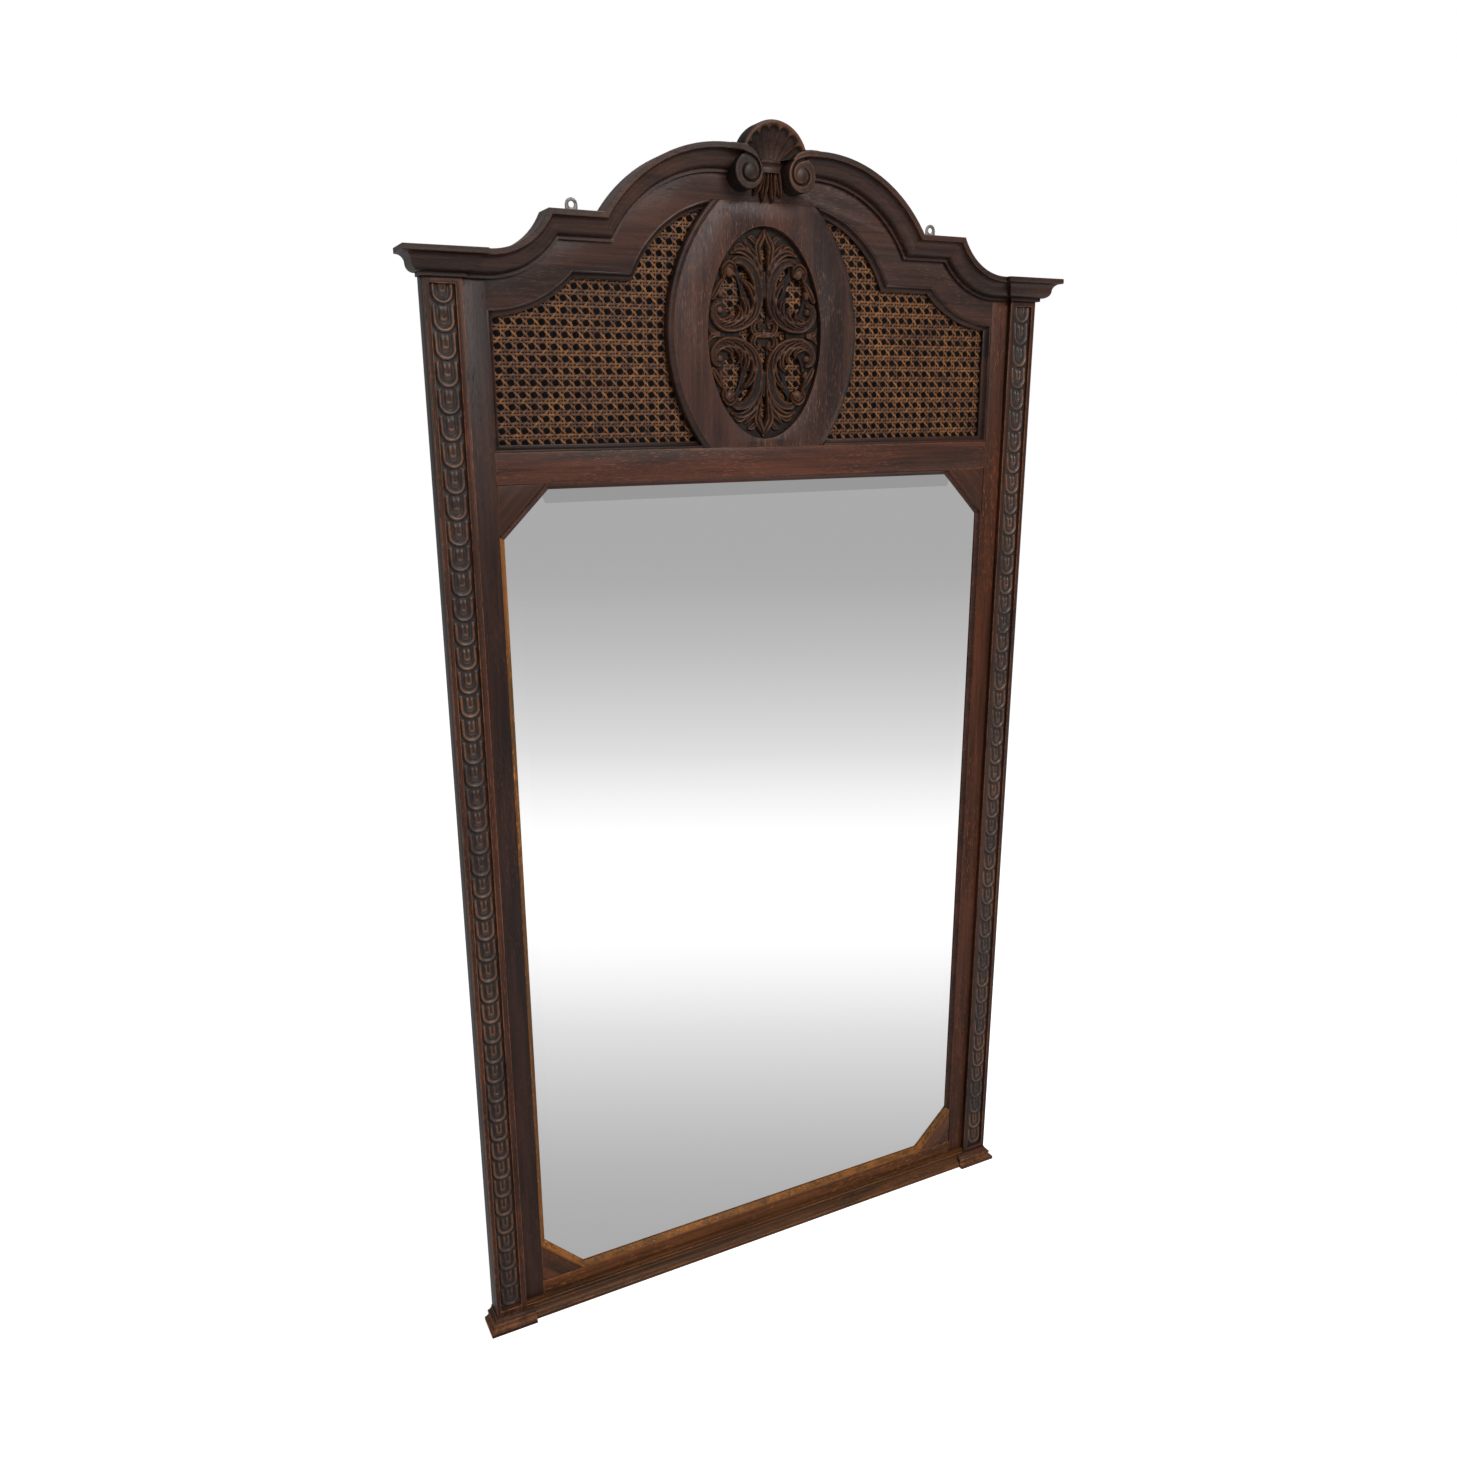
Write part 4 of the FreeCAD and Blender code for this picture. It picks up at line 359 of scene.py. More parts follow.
def add_group(tree, group, inputs):
    node = tree.nodes.new("ShaderNodeGroup")
    node.node_tree = bpy.data.node_groups[group]
    feed(tree, node, inputs)
    return node.outputs


def new_material(name):
    """A new finish: its node tree and its shader."""
    material = bpy.data.materials.new("finish_" + name)
    material.use_nodes = True
    return material.node_tree, material.node_tree.nodes["Principled BSDF"]


def oak(name, turn, fleck, wear, bump, gloss, tint):
    """Stained oak, its fibres turned by this many degrees from level."""
    tree, shader = new_material(name)
    place = object_place(tree)
    turned = node_at(tree, "ShaderNodeMapping", {"Vector": place, "Rotation": (0, math.radians(turn), 0)})
    fibres = add_group(tree, "oak_grain", {"Vector": turned.outputs["Vector"], "Fleck": fleck})
    # the old polish wears the edges and darkens the hollows with painted shade
    polish = add_group(tree, "old_polish", {
        "Color": mix_colour(tree, 1.0, fibres["Color"], tint, "MULTIPLY"), "Vector": place,
        "Worn": mark(tree, "worn"), "Dirt_and_shade": mark(tree, "dirt_and_shade"), "Wear": wear})
    relief = node_at(tree, "ShaderNodeBump", {
        "Strength": bump, "Distance": GRAIN_DEPTH, "Height": fibres["Height"]})
    feed(tree, shader, {
        "Base Color": polish["Color"], "Normal": relief.outputs["Normal"], "Specular IOR Level": gloss,
        "Roughness": plus(tree, fibres["Rough"], polish["Rough"], clamp=True)})


def cane_finish():
    """Split cane, glossy and honey brown, darker where the stain has settled, with painted highlight where
    a strand stands forward and painted shade where it dips under.
    """
    shades = colours()
    tree, shader = new_material("cane")
    place = object_place(tree)
    patch = noise(tree, place, 90.0, 2.0, 0.6)
    broad = noise(tree, place, 9.0, 3.0, 0.6)
    tone = plus(tree, times(tree, patch, 1.3), times(tree, broad, 0.5))
    light = window(tree, plus(tree, tone, mark(tree, "tone")), 1.00, 2.30)
    feed(tree, shader, {
        "Base Color": mix_colour(tree, light, shades.cane_dark, shades.cane_light),
        "Roughness": plus(tree, times(tree, patch, 0.3), 0.25), "Specular IOR Level": 0.16})


def glass_finish():
    """Silvered glass."""
    tree, shader = new_material("mirror_glass")
    feed(tree, shader, {"Base Color": (0.86, 0.865, 0.86), "Metallic": 1.0, "Roughness": 0.0})


def board_finish(name, colour, rough):
    """Thin back board: plain dark wood with a soft grain. Behind the cane it is coloured near black:
    painted shade seen through the weave's holes.
    """
    tree, shader = new_material(name)
    streak = noise(tree, stretched(tree, object_place(tree), (90, 90, 3)), 2.0, 4.0, 0.6)
    darker = tuple(0.55 * part for part in colour)
    feed(tree, shader, {
        "Base Color": mix_colour(tree, window(tree, streak, 0.35, 0.65), darker, colour),
        "Roughness": rough, "Specular IOR Level": 0.0})


def iron_finish(name, colour, rough, metallic):
    """Old iron with a little rust."""
    tree, shader = new_material(name)
    rust = window(tree, noise(tree, object_place(tree), 260.0, 3.0, 0.6), 0.52, 0.7)
    feed(tree, shader, {
        "Base Color": mix_colour(tree, rust, colour, (0.10, 0.042, 0.018)),
        "Roughness": plus(tree, times(tree, rust, 0.3), rough), "Metallic": metallic})


GRAIN_DEPTH = 0.6 * MM
UPRIGHT, LEVEL, RISING, FALLING = 90, 0, 45, 135
OAKS = {
    # way of the fibres, flecks, wear, bump, gloss, tint
    "oak_upright": (UPRIGHT, 0.5, 0.6, 0.25, 0.2, (0.66, 0.58, 0.58)),
    "oak_pilaster": (UPRIGHT, 0.9, 1.0, 0.25, 0.2, (1.12, 0.86, 0.68)),
    "oak_stile_right": (UPRIGHT, 0.9, 0.6, 0.25, 0.14, (1.35, 0.98, 0.66)),
    "oak_pilaster_right": (UPRIGHT, 0.5, 0.7, 0.25, 0.2, (0.85, 0.72, 0.68)),
    "oak_level": (LEVEL, 0.5, 0.6, 0.25, 0.24, (1.0, 1.0, 1.06)),
    "oak_rail": (LEVEL, 0.7, 0.6, 0.25, 0.24, (1.45, 1.15, 1.0)),
    "oak_foot": (LEVEL, 0.9, 1.0, 0.25, 0.12, (2.2, 1.75, 0.85)),
    "oak_splat": (UPRIGHT, 1.0, 0.6, 0.25, 0.24, (1.02, 1.02, 1.10)),
    "oak_carved": (UPRIGHT, 0.25, 0.34, 0.12, 0.2, (0.60, 0.59, 0.62)),
    "oak_scales": (UPRIGHT, 0.2, 0.55, 0.12, 0.45, (0.62, 0.62, 0.62)),
    "oak_corner_rising": (RISING, 0.5, 0.5, 0.25, 0.24, (0.95, 0.76, 0.58)),
    "oak_corner_falling": (FALLING, 0.5, 0.5, 0.25, 0.24, (0.95, 0.76, 0.58)),
    "oak_low_corner_rising": (RISING, 0.8, 0.8, 0.25, 0.24, (1.6, 1.25, 0.66)),
    "oak_low_corner_falling": (FALLING, 0.8, 0.8, 0.25, 0.24, (1.6, 1.25, 0.66)),
    "oak_glazing": (LEVEL, 0.2, 0.5, 0.15, 0.24, (0.95, 0.68, 0.56)),
    # the left and bottom glazing strips: much lighter as painted light, with worn edges
    "oak_glazing_worn_and_painted_light": (UPRIGHT, 0.8, 1.0, 0.15, 0.12, (4.2, 3.8, 1.5)),
    "oak_moulded": (LEVEL, 0.25, 0.35, 0.15, 0.24, (0.80, 0.78, 0.78)),
    "oak_bead": (LEVEL, 0.2, 0.18, 0.15, 0.24, (0.66, 0.68, 0.72)),
    "oak_foot_moulding": (LEVEL, 0.5, 1.0, 0.25, 0.14, (1.7, 1.5, 0.74)),
    "oak_plinth": (LEVEL, 0.5, 0.8, 0.25, 0.16, (0.95, 0.80, 0.56)),
}


class MIRROR_OT_finishes(bpy.types.Operator):
    """Mix every finish"""
    bl_idname = "mirror.finishes"
    bl_label = "Finishes"

    def execute(self, context):
        oak_grain_group()
        old_polish_group()
        for name, values in OAKS.items():
            oak(name, *values)
        cane_finish()
        glass_finish()
        # the cane's backing board, coloured near black as painted shade in the weave's holes
        board_finish("dark_board", (0.009, 0.008, 0.008), 0.9)
        board_finish("plain_board", (0.20, 0.115, 0.058), 0.75)
        iron_finish("black_iron", (0.13, 0.125, 0.115), 0.42, 0.3)
        iron_finish("screw_steel", (0.26, 0.24, 0.20), 0.4, 0.9)
        return {"FINISHED"}


# Boards

BOARDS = (
    # node, name of the piece, finish
    ("stile_left", "stile_board_left", "oak_upright"),
    ("pilaster_left", "pilaster_board_left", "oak_pilaster"),
    ("corner_block_top_left", "corner_top_left", "oak_corner_rising"),
    ("corner_block_bottom_left", "corner_bottom_left", "oak_low_corner_falling"),
    ("stile_right", "stile_board_right", "oak_stile_right"),
    ("pilaster_right", "pilaster_board_right", "oak_pilaster_right"),
    ("corner_block_top_right", "corner_top_right", "oak_corner_falling"),
    ("corner_block_bottom_right", "corner_bottom_right", "oak_low_corner_rising"),
    ("bottom_rail", "rail_board_bottom", "oak_foot"),
    ("mid_rail", "rail_board_middle", "oak_rail"),
    ("crest_board", "crest_board_eased", "oak_level"),
)


class MIRROR_OT_boards(bpy.types.Operator):
    """Stiles, rails, crest board, splat, corner blocks and pilasters with rubbed edges"""
    bl_idname = "mirror.boards"
    bl_label = "Boards"

    def execute(self, context):
        for node, name, finish_name in BOARDS:
            eased(node, name, finish_name)
        eased("splat", "splat_board", "oak_splat", width=SPLAT_EDGE)
        return {"FINISHED"}


# Cornice

FILLET_OUT = 4.2 * MM
FILLET_HIGH = 4 * MM
QUIRK = 1.2 * MM
CYMA_RADIUS = 9.3 * MM
CYMA_STEPS = 7
LIP_OUT = 1.6 * MM
LIP_EASE = 0.7 * MM
ARCH_START = 38 * MM
ARCH_LEVEL = 27 * MM
# steps, degrees, and the centre's place across and up
ARCH_SPIN = (40, 80, 65 * MM, 1364 * MM)
COVE_SPIN = (30, 75, STILE_IN, CORNICE_LOW + 106 * MM)
# how far back the block's inner return runs beside the stile
RETURN_DEEP = 13.4 * MM
# the step's run starts before its inner mitre and ends past its outer one
STEP_BEFORE = 20 * MM
STEP_RUN = 130 * MM
CUT_IN = 0.2 * MM
LIP_NARROW = 1.1 * MM


def cornice_section():
    """The cornice's section from its foot to its lip: (out, up) of each point."""
    start = FILLET_OUT + QUIRK
    middle = FILLET_HIGH + CYMA_RADIUS
    points = [(0, 0), (FILLET_OUT, 0), (FILLET_OUT, FILLET_HIGH)]
    for centre, first, degrees in ((start, 0, (-90, 90)), (start + 2 * CYMA_RADIUS, 1, (180, -90))):
        for step in range(first, CYMA_STEPS + 1):
            angle = math.radians(degrees[0] + degrees[1] * step / CYMA_STEPS)
            points.append((centre + CYMA_RADIUS * math.cos(angle), middle + CYMA_RADIUS * math.sin(angle)))
    out = start + 2 * CYMA_RADIUS + LIP_OUT
    under = FILLET_HIGH + 2 * CYMA_RADIUS
    points += [(out - LIP_EASE, under), (out, under + LIP_EASE), (out, CORNICE_HIGH - LIP_EASE),
               (out - LIP_EASE, CORNICE_HIGH), (0, CORNICE_HIGH)]
    return points


def extruded(name, corners, length):
    """A flat face of these corners, run along X; it is left in edit mode."""
    piece = mesh_piece(name, corners, [tuple(range(len(corners)))])
    edit(piece)
    bpy.ops.mesh.extrude_region_move(TRANSFORM_OT_translate={"value": (length, 0, 0)})
    return piece


def cornice_run(part, x, z, length, cuts, spin=None):
    """The cornice's section, run level from (x, z), then spun about a centre, and cut by mitres."""
    run = extruded(part, [(x, FACE - out, z + up) for out, up in cornice_section()], length)
    if spin:
        steps, degrees, centre_x, centre_z = spin
        bpy.ops.mesh.spin(steps=steps, angle=-math.radians(degrees), center=(centre_x, 0, centre_z),
                          axis=(0, 1, 0))
    leave()
    for low, high, keep_right in cuts:
        mitre(run, low, high, keep_right)
    return run


def mitre(piece, low, high, keep_right):
    """Cut the run along the slanting line from low to high, each (x, z)."""
    edit(piece)
    run = Vector((high[0] - low[0], 0, high[1] - low[1]))
    across = Vector((run.z, 0, -run.x)).normalized()
    bpy.ops.mesh.bisect(plane_co=(low[0], 0, low[1]), plane_no=across, use_fill=True,
                        clear_inner=keep_right, clear_outer=not keep_right)
    leave()


def settle(piece):
    edit(piece)
    bpy.ops.mesh.remove_doubles(threshold=1e-6)
    bpy.ops.mesh.normals_make_consistent(inside=False)
    leave()


def mirrored_copy(piece):
    """The same piece on the other side, with a mesh of its own."""
    pick(piece)
    bpy.ops.object.duplicate()
    copy = bpy.context.object
    edit(copy)
    bpy.ops.transform.mirror(constraint_axis=(True, False, False), center_override=(0, 0, 0))
    bpy.ops.mesh.normals_make_consistent(inside=False)
    leave()
    return copy


class MIRROR_OT_cornice(bpy.types.Operator):
    """Run the cornice: a block over each pilaster, a cove, a step and the arch"""
    bl_idname = "mirror.cornice"
    bl_label = "Cornice"

    def execute(self, context):
        cove, step, arch = (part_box("cornice_%s_right" % part) for part in ("cove", "step", "arch"))
        outer = (cove[0].x, step[0].z), (step[1].x, step[1].z)
        inner = (step[0].x, step[0].z), (arch[1].x, step[1].z)
        arch_end = ARCH_START + CUT_IN
        cove_end = cove[1].x - CUT_IN
        made = {
            "arch": cornice_run(
                "arch", ARCH_START, CREST_TOP - (step[1].z - step[0].z), ARCH_LEVEL,
                (((arch_end, 0), (arch_end, 1), True), (*inner, False)), ARCH_SPIN),
            "step": cornice_run(
                "step", step[0].x - STEP_BEFORE, step[0].z, STEP_RUN,
                ((*inner, True), (*outer, False))),
            "cove": cornice_run(
                "cove", cove[1].x, CORNICE_LOW, STILE_IN - cove[1].x,
                (((cove_end, 0), (cove_end, 1), False), (*outer, True)), COVE_SPIN),
            "block": self.block()}
        for piece in made.values():
            settle(piece)
        # the block's inner return takes its place at the cove's outer end
        pick(made["cove"])
        cut = made["cove"].modifiers.new("Return", "BOOLEAN")
        cut.operation = "DIFFERENCE"
        cut.solver = "EXACT"
        cut.object = made["block"]
        bpy.ops.object.modifier_apply(modifier=cut.name)
        for part, piece in made.items():
            for label, half in (("right", piece), ("left", mirrored_copy(piece))):
                node = "cornice_%s_%s" % (part, label)
                # the lip's eased edges are worn
                mark_worn(half, lambda face, lengths: len(lengths) == 4 and min(lengths) < LIP_NARROW)
                finish(half, node + "_run", "oak_moulded", (node,), smooth=30)
        return {"FINISHED"}

    def block(self):
        """The block over the pilaster: the same section, returned at both sides."""
        low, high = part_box("cornice_block_right")
        section = cornice_section()
        out = max(point[0] for point in section)
        left, right, front = low.x + out, high.x - out, low.y + out
        corners, faces = [], []
        for reach, up in section:
            z = CORNICE_LOW + up
            corners += [(left - reach, FACE, z), (left - reach, front - reach, z),
                        (right + reach, front - reach, z), (right + reach, FACE, z),
                        (right + reach, FACE + RETURN_DEEP, z)]
        last = len(corners) - 5
        rows = range(0, len(corners), 5)
        for row in rows[:-1]:
            for first in range(row, row + 4):
                faces.append((first, first + 1, first + 6, first + 5))
        # the flat sides: against the frame, the return's end, the foot, the top and beside the stile
        faces += [tuple(rows) + (last + 3, 3), tuple(row + 4 for row in rows), (0, 3, 2, 1),
                  (last, last + 1, last + 2, last + 3), (3, last + 3, last + 4, 4)]
        return mesh_piece("block", corners, faces)


# Mouldings

# the base moulding from its top down: share of the way out, height in millimetres
BASE_SECTION = (
    (0, 29), (0.20, 29), (0.36, 28.3), (0.42, 26.9), (0.36, 25.5), (0.22, 24.9), (0.16, 24.4),
    (0.40, 24.0), (0.46, 23.4), (0.46, 20.2), (0.40, 19.6), (0.26, 19.3), (0.26, 18.9), (0.46, 18.6),
    (0.54, 17.7), (0.46, 16.8), (0.36, 16.4), (0.40, 13.8), (0.50, 11.0), (0.66, 8.8), (0.86, 7.4),
    (0.86, 6.4), (0.95, 6.1), (1.0, 5.4), (1.0, 0.6), (0.95, 0), (0, 0))
BASE_EDGE = 1.2 * MM


class MIRROR_OT_mouldings(bpy.types.Operator):
    """Base, plinths, window beads, splat beads and glazing strips"""
    bl_idname = "mirror.mouldings"
    bl_label = "Mouldings"

    def execute(self, context):
        for side in SIDES:
            for part in ("arch", "step", "cove", "side", "rail"):
                self.moulding("window_bead_%s_%s" % (part, side), "oak_bead")
            self.moulding("splat_bead_" + side, "oak_bead")
            self.moulding("plinth_" + side, "oak_plinth", "_foot")
            self.moulding("glazing_strip_" + side, self.glazing(side))
            for end in ENDS:
                self.moulding("glazing_cant_%s_%s" % (end, side), self.glazing(end))
        for end in ENDS:
            self.moulding("glazing_strip_" + end, self.glazing(end))
        self.base()
        return {"FINISHED"}

    def glazing(self, place):
        # the left and bottom strips take the lighter finish: painted light, besides their worn edges
        return "oak_glazing_worn_and_painted_light" if place in ("left", "bottom") else "oak_glazing"

    def moulding(self, node, finish_name, ending="_run"):
        eased(node, node + ending, finish_name, FINE_EDGE)

    def base(self):
        """The base moulding, run past the plinths' inner steps with crisp beads and quirks."""
        low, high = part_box("base_moulding")
        corners = [(low.x, FACE - out * (FACE - low.y), low.z + up * MM) for out, up in BASE_SECTION]
        piece = extruded("base_run", corners, high.x - low.x)
        leave()
        settle(piece)
        mark_edges(piece, BASE_EDGE)
        finish(piece, "base_run", "oak_foot_moulding", ("base_moulding",))


# Relief carving: a fine sheet of points raised by gouge strokes, with walls down to its flat back

# points within this share of a step are drawn onto the outline, where it isn't too flat
SNAP = 0.75
LEAST_SLOPE = 0.25
WEAR_HEIGHT = 0.15 * MM
# the sunken ground darkens as painted shade over this depth
DIRT_AND_SHADE_DEPTH = 2.4 * MM
PATH_STEPS = 6
FAR = 99.0
CARVING_MARGIN = 2 * MM


def grid_piece(low, high, step):
    """A flat grid in X and Z, and its points' places as arrays in metres."""
    columns = max(2, int(round((high[0] - low[0]) / step)))
    rows = max(2, int(round((high[1] - low[1]) / step)))
    deselect()
    bpy.ops.mesh.primitive_grid_add(x_subdivisions=columns, y_subdivisions=rows, size=2)
    piece = bpy.context.object
    flat = np.zeros(len(piece.data.vertices) * 3)
    piece.data.vertices.foreach_get("co", flat)
    flat = flat.reshape(-1, 3)
    x = low[0] + (flat[:, 0] + 1) / 2 * (high[0] - low[0])
    z = low[1] + (flat[:, 1] + 1) / 2 * (high[1] - low[1])
    return piece, x, z, columns, rows


def carve(name, low, high, step, surface, outline, back, nodes=(), finish_name="oak_carved", smooth=50,
          blur=3.0, shade_behind=None):
    """Carve a relief. surface(x, z) gives the front's y and outline(x, z) how far outside a point lies.

    Both take arrays in metres. back is the plane that the carving sits on. Hollows, and all that lies
    further back than the last argument's depth, are marked to be darkened: painted shade, with some old
    grime."""
    piece, x, z, columns, rows = grid_piece(low, high, step)
    outside = outline(x, z)
    small = 0.2 * step
    slope_x = (outline(x + small, z) - outline(x - small, z)) / (2 * small)
    slope_z = (outline(x, z + small) - outline(x, z - small)) / (2 * small)
    steep = np.maximum(slope_x ** 2 + slope_z ** 2, LEAST_SLOPE)
    near = np.abs(outside) < SNAP * step
    x = np.where(near, x - outside * slope_x / steep, x)
    z = np.where(near, z - outside * slope_z / steep, z)
    inside = near | (outside < 0)
    y = surface(x, z)
    mesh = piece.data
    mesh.vertices.foreach_set("co", np.stack([x, y, z], 1).ravel())
    raised = -y.reshape((rows + 1, columns + 1))
    swell = ((raised - blurred(raised, blur)) / (WEAR_HEIGHT * blur)).ravel()
    # the hollows' mark darkens them in the finish: painted shade, with some grime
    hollow = ramp(-swell)
    if shade_behind is not None:
        hollow = np.maximum(hollow, ramp(y - shade_behind + DIRT_AND_SHADE_DEPTH / 2, DIRT_AND_SHADE_DEPTH))
    for label, values in (("worn", ramp(swell)), ("dirt_and_shade", hollow)):
        mesh.attributes.new(label, "FLOAT", "POINT").data.foreach_set("value", values)
    corners = np.zeros(len(mesh.loops), np.int32)
    mesh.loops.foreach_get("vertex_index", corners)
    spare = ~inside[corners.reshape(-1, 4)].all(1)
    if spare.any():
        choose(piece, spare)
        bpy.ops.mesh.delete(type="FACE")
        leave()
    edit(piece)
    bpy.ops.mesh.region_to_loop()
    bpy.ops.mesh.extrude_edges_move(TRANSFORM_OT_translate={"value": (0, 1, 0)})
    leave()
    for point in piece.data.vertices:
        if point.select:
            point.co.y = back
    edit(piece, everything=False)
    bpy.ops.mesh.select_mode(type="EDGE")
    bpy.ops.mesh.select_non_manifold(extend=False, use_wire=False, use_boundary=True, use_multi_face=False,
                                     use_non_contiguous=False, use_verts=False)
    bpy.ops.mesh.fill(use_beauty=False)
    bpy.ops.mesh.select_mode(type="VERT")
    bpy.ops.mesh.select_all(action="SELECT")
    bpy.ops.mesh.normals_make_consistent(inside=False)
    leave()
    face_room(piece, back)
    finish(piece, name, finish_name, nodes, smooth)


def face_room(piece, back):
    """Turn the faces over if the carving's front looks into the wall."""
    front = [face for face in piece.data.polygons
             if abs(face.normal.y) > 0.5 and face.center.y < back - 0.05 * MM]
    if front and sum(face.normal.y * face.area for face in front) > 0:
        edit(piece)
        bpy.ops.mesh.flip_normals()
        leave()


def blurred(field, radius):
    """The field softened over a few cells."""
    cells = int(3 * radius)
    places = np.arange(-cells, cells + 1)
    weights = np.exp(-0.5 * (places / radius) ** 2)
    weights /= weights.sum()
    for axis in (0, 1):
        padded = np.pad(field, [(cells, cells) if a == axis else (0, 0) for a in (0, 1)], mode="edge")
        length = field.shape[axis]
        field = sum(weight * np.take(padded, np.arange(shift, shift + length), axis)
                    for shift, weight in enumerate(weights))
    return field


def ramp(value, width=1):
    """Rises from 0 to 1 over this width."""
    return np.clip(value / width, 0, 1)


def ridge(value, centre, width):
    """A soft ridge, 1 high at its centre."""
    return np.exp(-((value - centre) / width) ** 2)


def smooth_path(points):
    """A smooth line through given points, each (x, z, width, height)."""
    points = [np.array(point, float) for point in points]
    path = []
    count = len(points)
    for index in range(count - 1):
        before = points[max(index - 1, 0)]
        start, end = points[index], points[index + 1]
        after = points[min(index + 2, count - 1)]
        for part in range(PATH_STEPS):
            t = part / PATH_STEPS
            path.append(0.5 * ((2 * start) + (end - before) * t
                               + (2 * before - 5 * start + 4 * end - after) * t ** 2
                               + (3 * start - before - 3 * end + after) * t ** 3))
    path.append(points[-1])
    return np.array(path)


def spans(x, z, path):
    """For each span of the path: the places' distances from it, and its width and height beside them."""
    for a, b in zip(path[:-1], path[1:]):
        run = b[:2] - a[:2]
        length = max(float(run @ run), 1e-12)
        t = np.clip(((x - a[0]) * run[0] + (z - a[1]) * run[1]) / length, 0, 1)
        away = np.hypot(x - a[0] - t * run[0], z - a[1] - t * run[1])
        yield away, a[2] + t * (b[2] - a[2]), a[3] + t * (b[3] - a[3])


def stroke(x, z, points, section):
    """Height of one gouge stroke over the field; section(across, height) shapes it."""
    path = smooth_path(points)
    reach = path[:, 2].max()
    close = ((x > path[:, 0].min() - reach) & (x < path[:, 0].max() + reach)
             & (z > path[:, 1].min() - reach) & (z < path[:, 1].max() + reach))
    best = np.full(x[close].shape, 1e9)
    high = np.zeros_like(best)
    for away, width, height in spans(x[close], z[close], path):
        share = away / np.maximum(width, 1e-6)
        high = np.where(share < best, height, high)
        best = np.minimum(best, share)
    field = np.zeros_like(x)
    field[close] = np.where(best < 1, section(best, high), 0)
    return field


def away_from(x, z, points):
    """How far outside a stroke's edge each place lies."""
    return np.minimum.reduce([away - width for away, width, _ in spans(x, z, smooth_path(points))])


def placed(points, side=1, half=1):
    """A stroke's points, mirrored across the middle or from end to end."""
    return [(side * x, half * z, width, height) for x, z, width, height in points]


def rounded(across, height):
    """A plump ridge."""
    return height * np.sqrt(np.maximum(1 - across ** 2, 0))


def channelled(across, height):
    """A band with a hollow between two rims."""
    return height * (0.60 + 0.40 * ridge(across, 0.68, 0.24)) * np.sqrt(ramp(1 - across, 0.22))


def leafy(across, height):
    """A leaf lobe with a sharp vein down its hollow middle."""
    shape = 0.70 + 0.30 * np.minimum(across / 0.6, 1) - 0.26 * ridge(across, 0, 0.16)
    return height * shape * np.sqrt(ramp(1 - across, 0.35))


# Oval carving

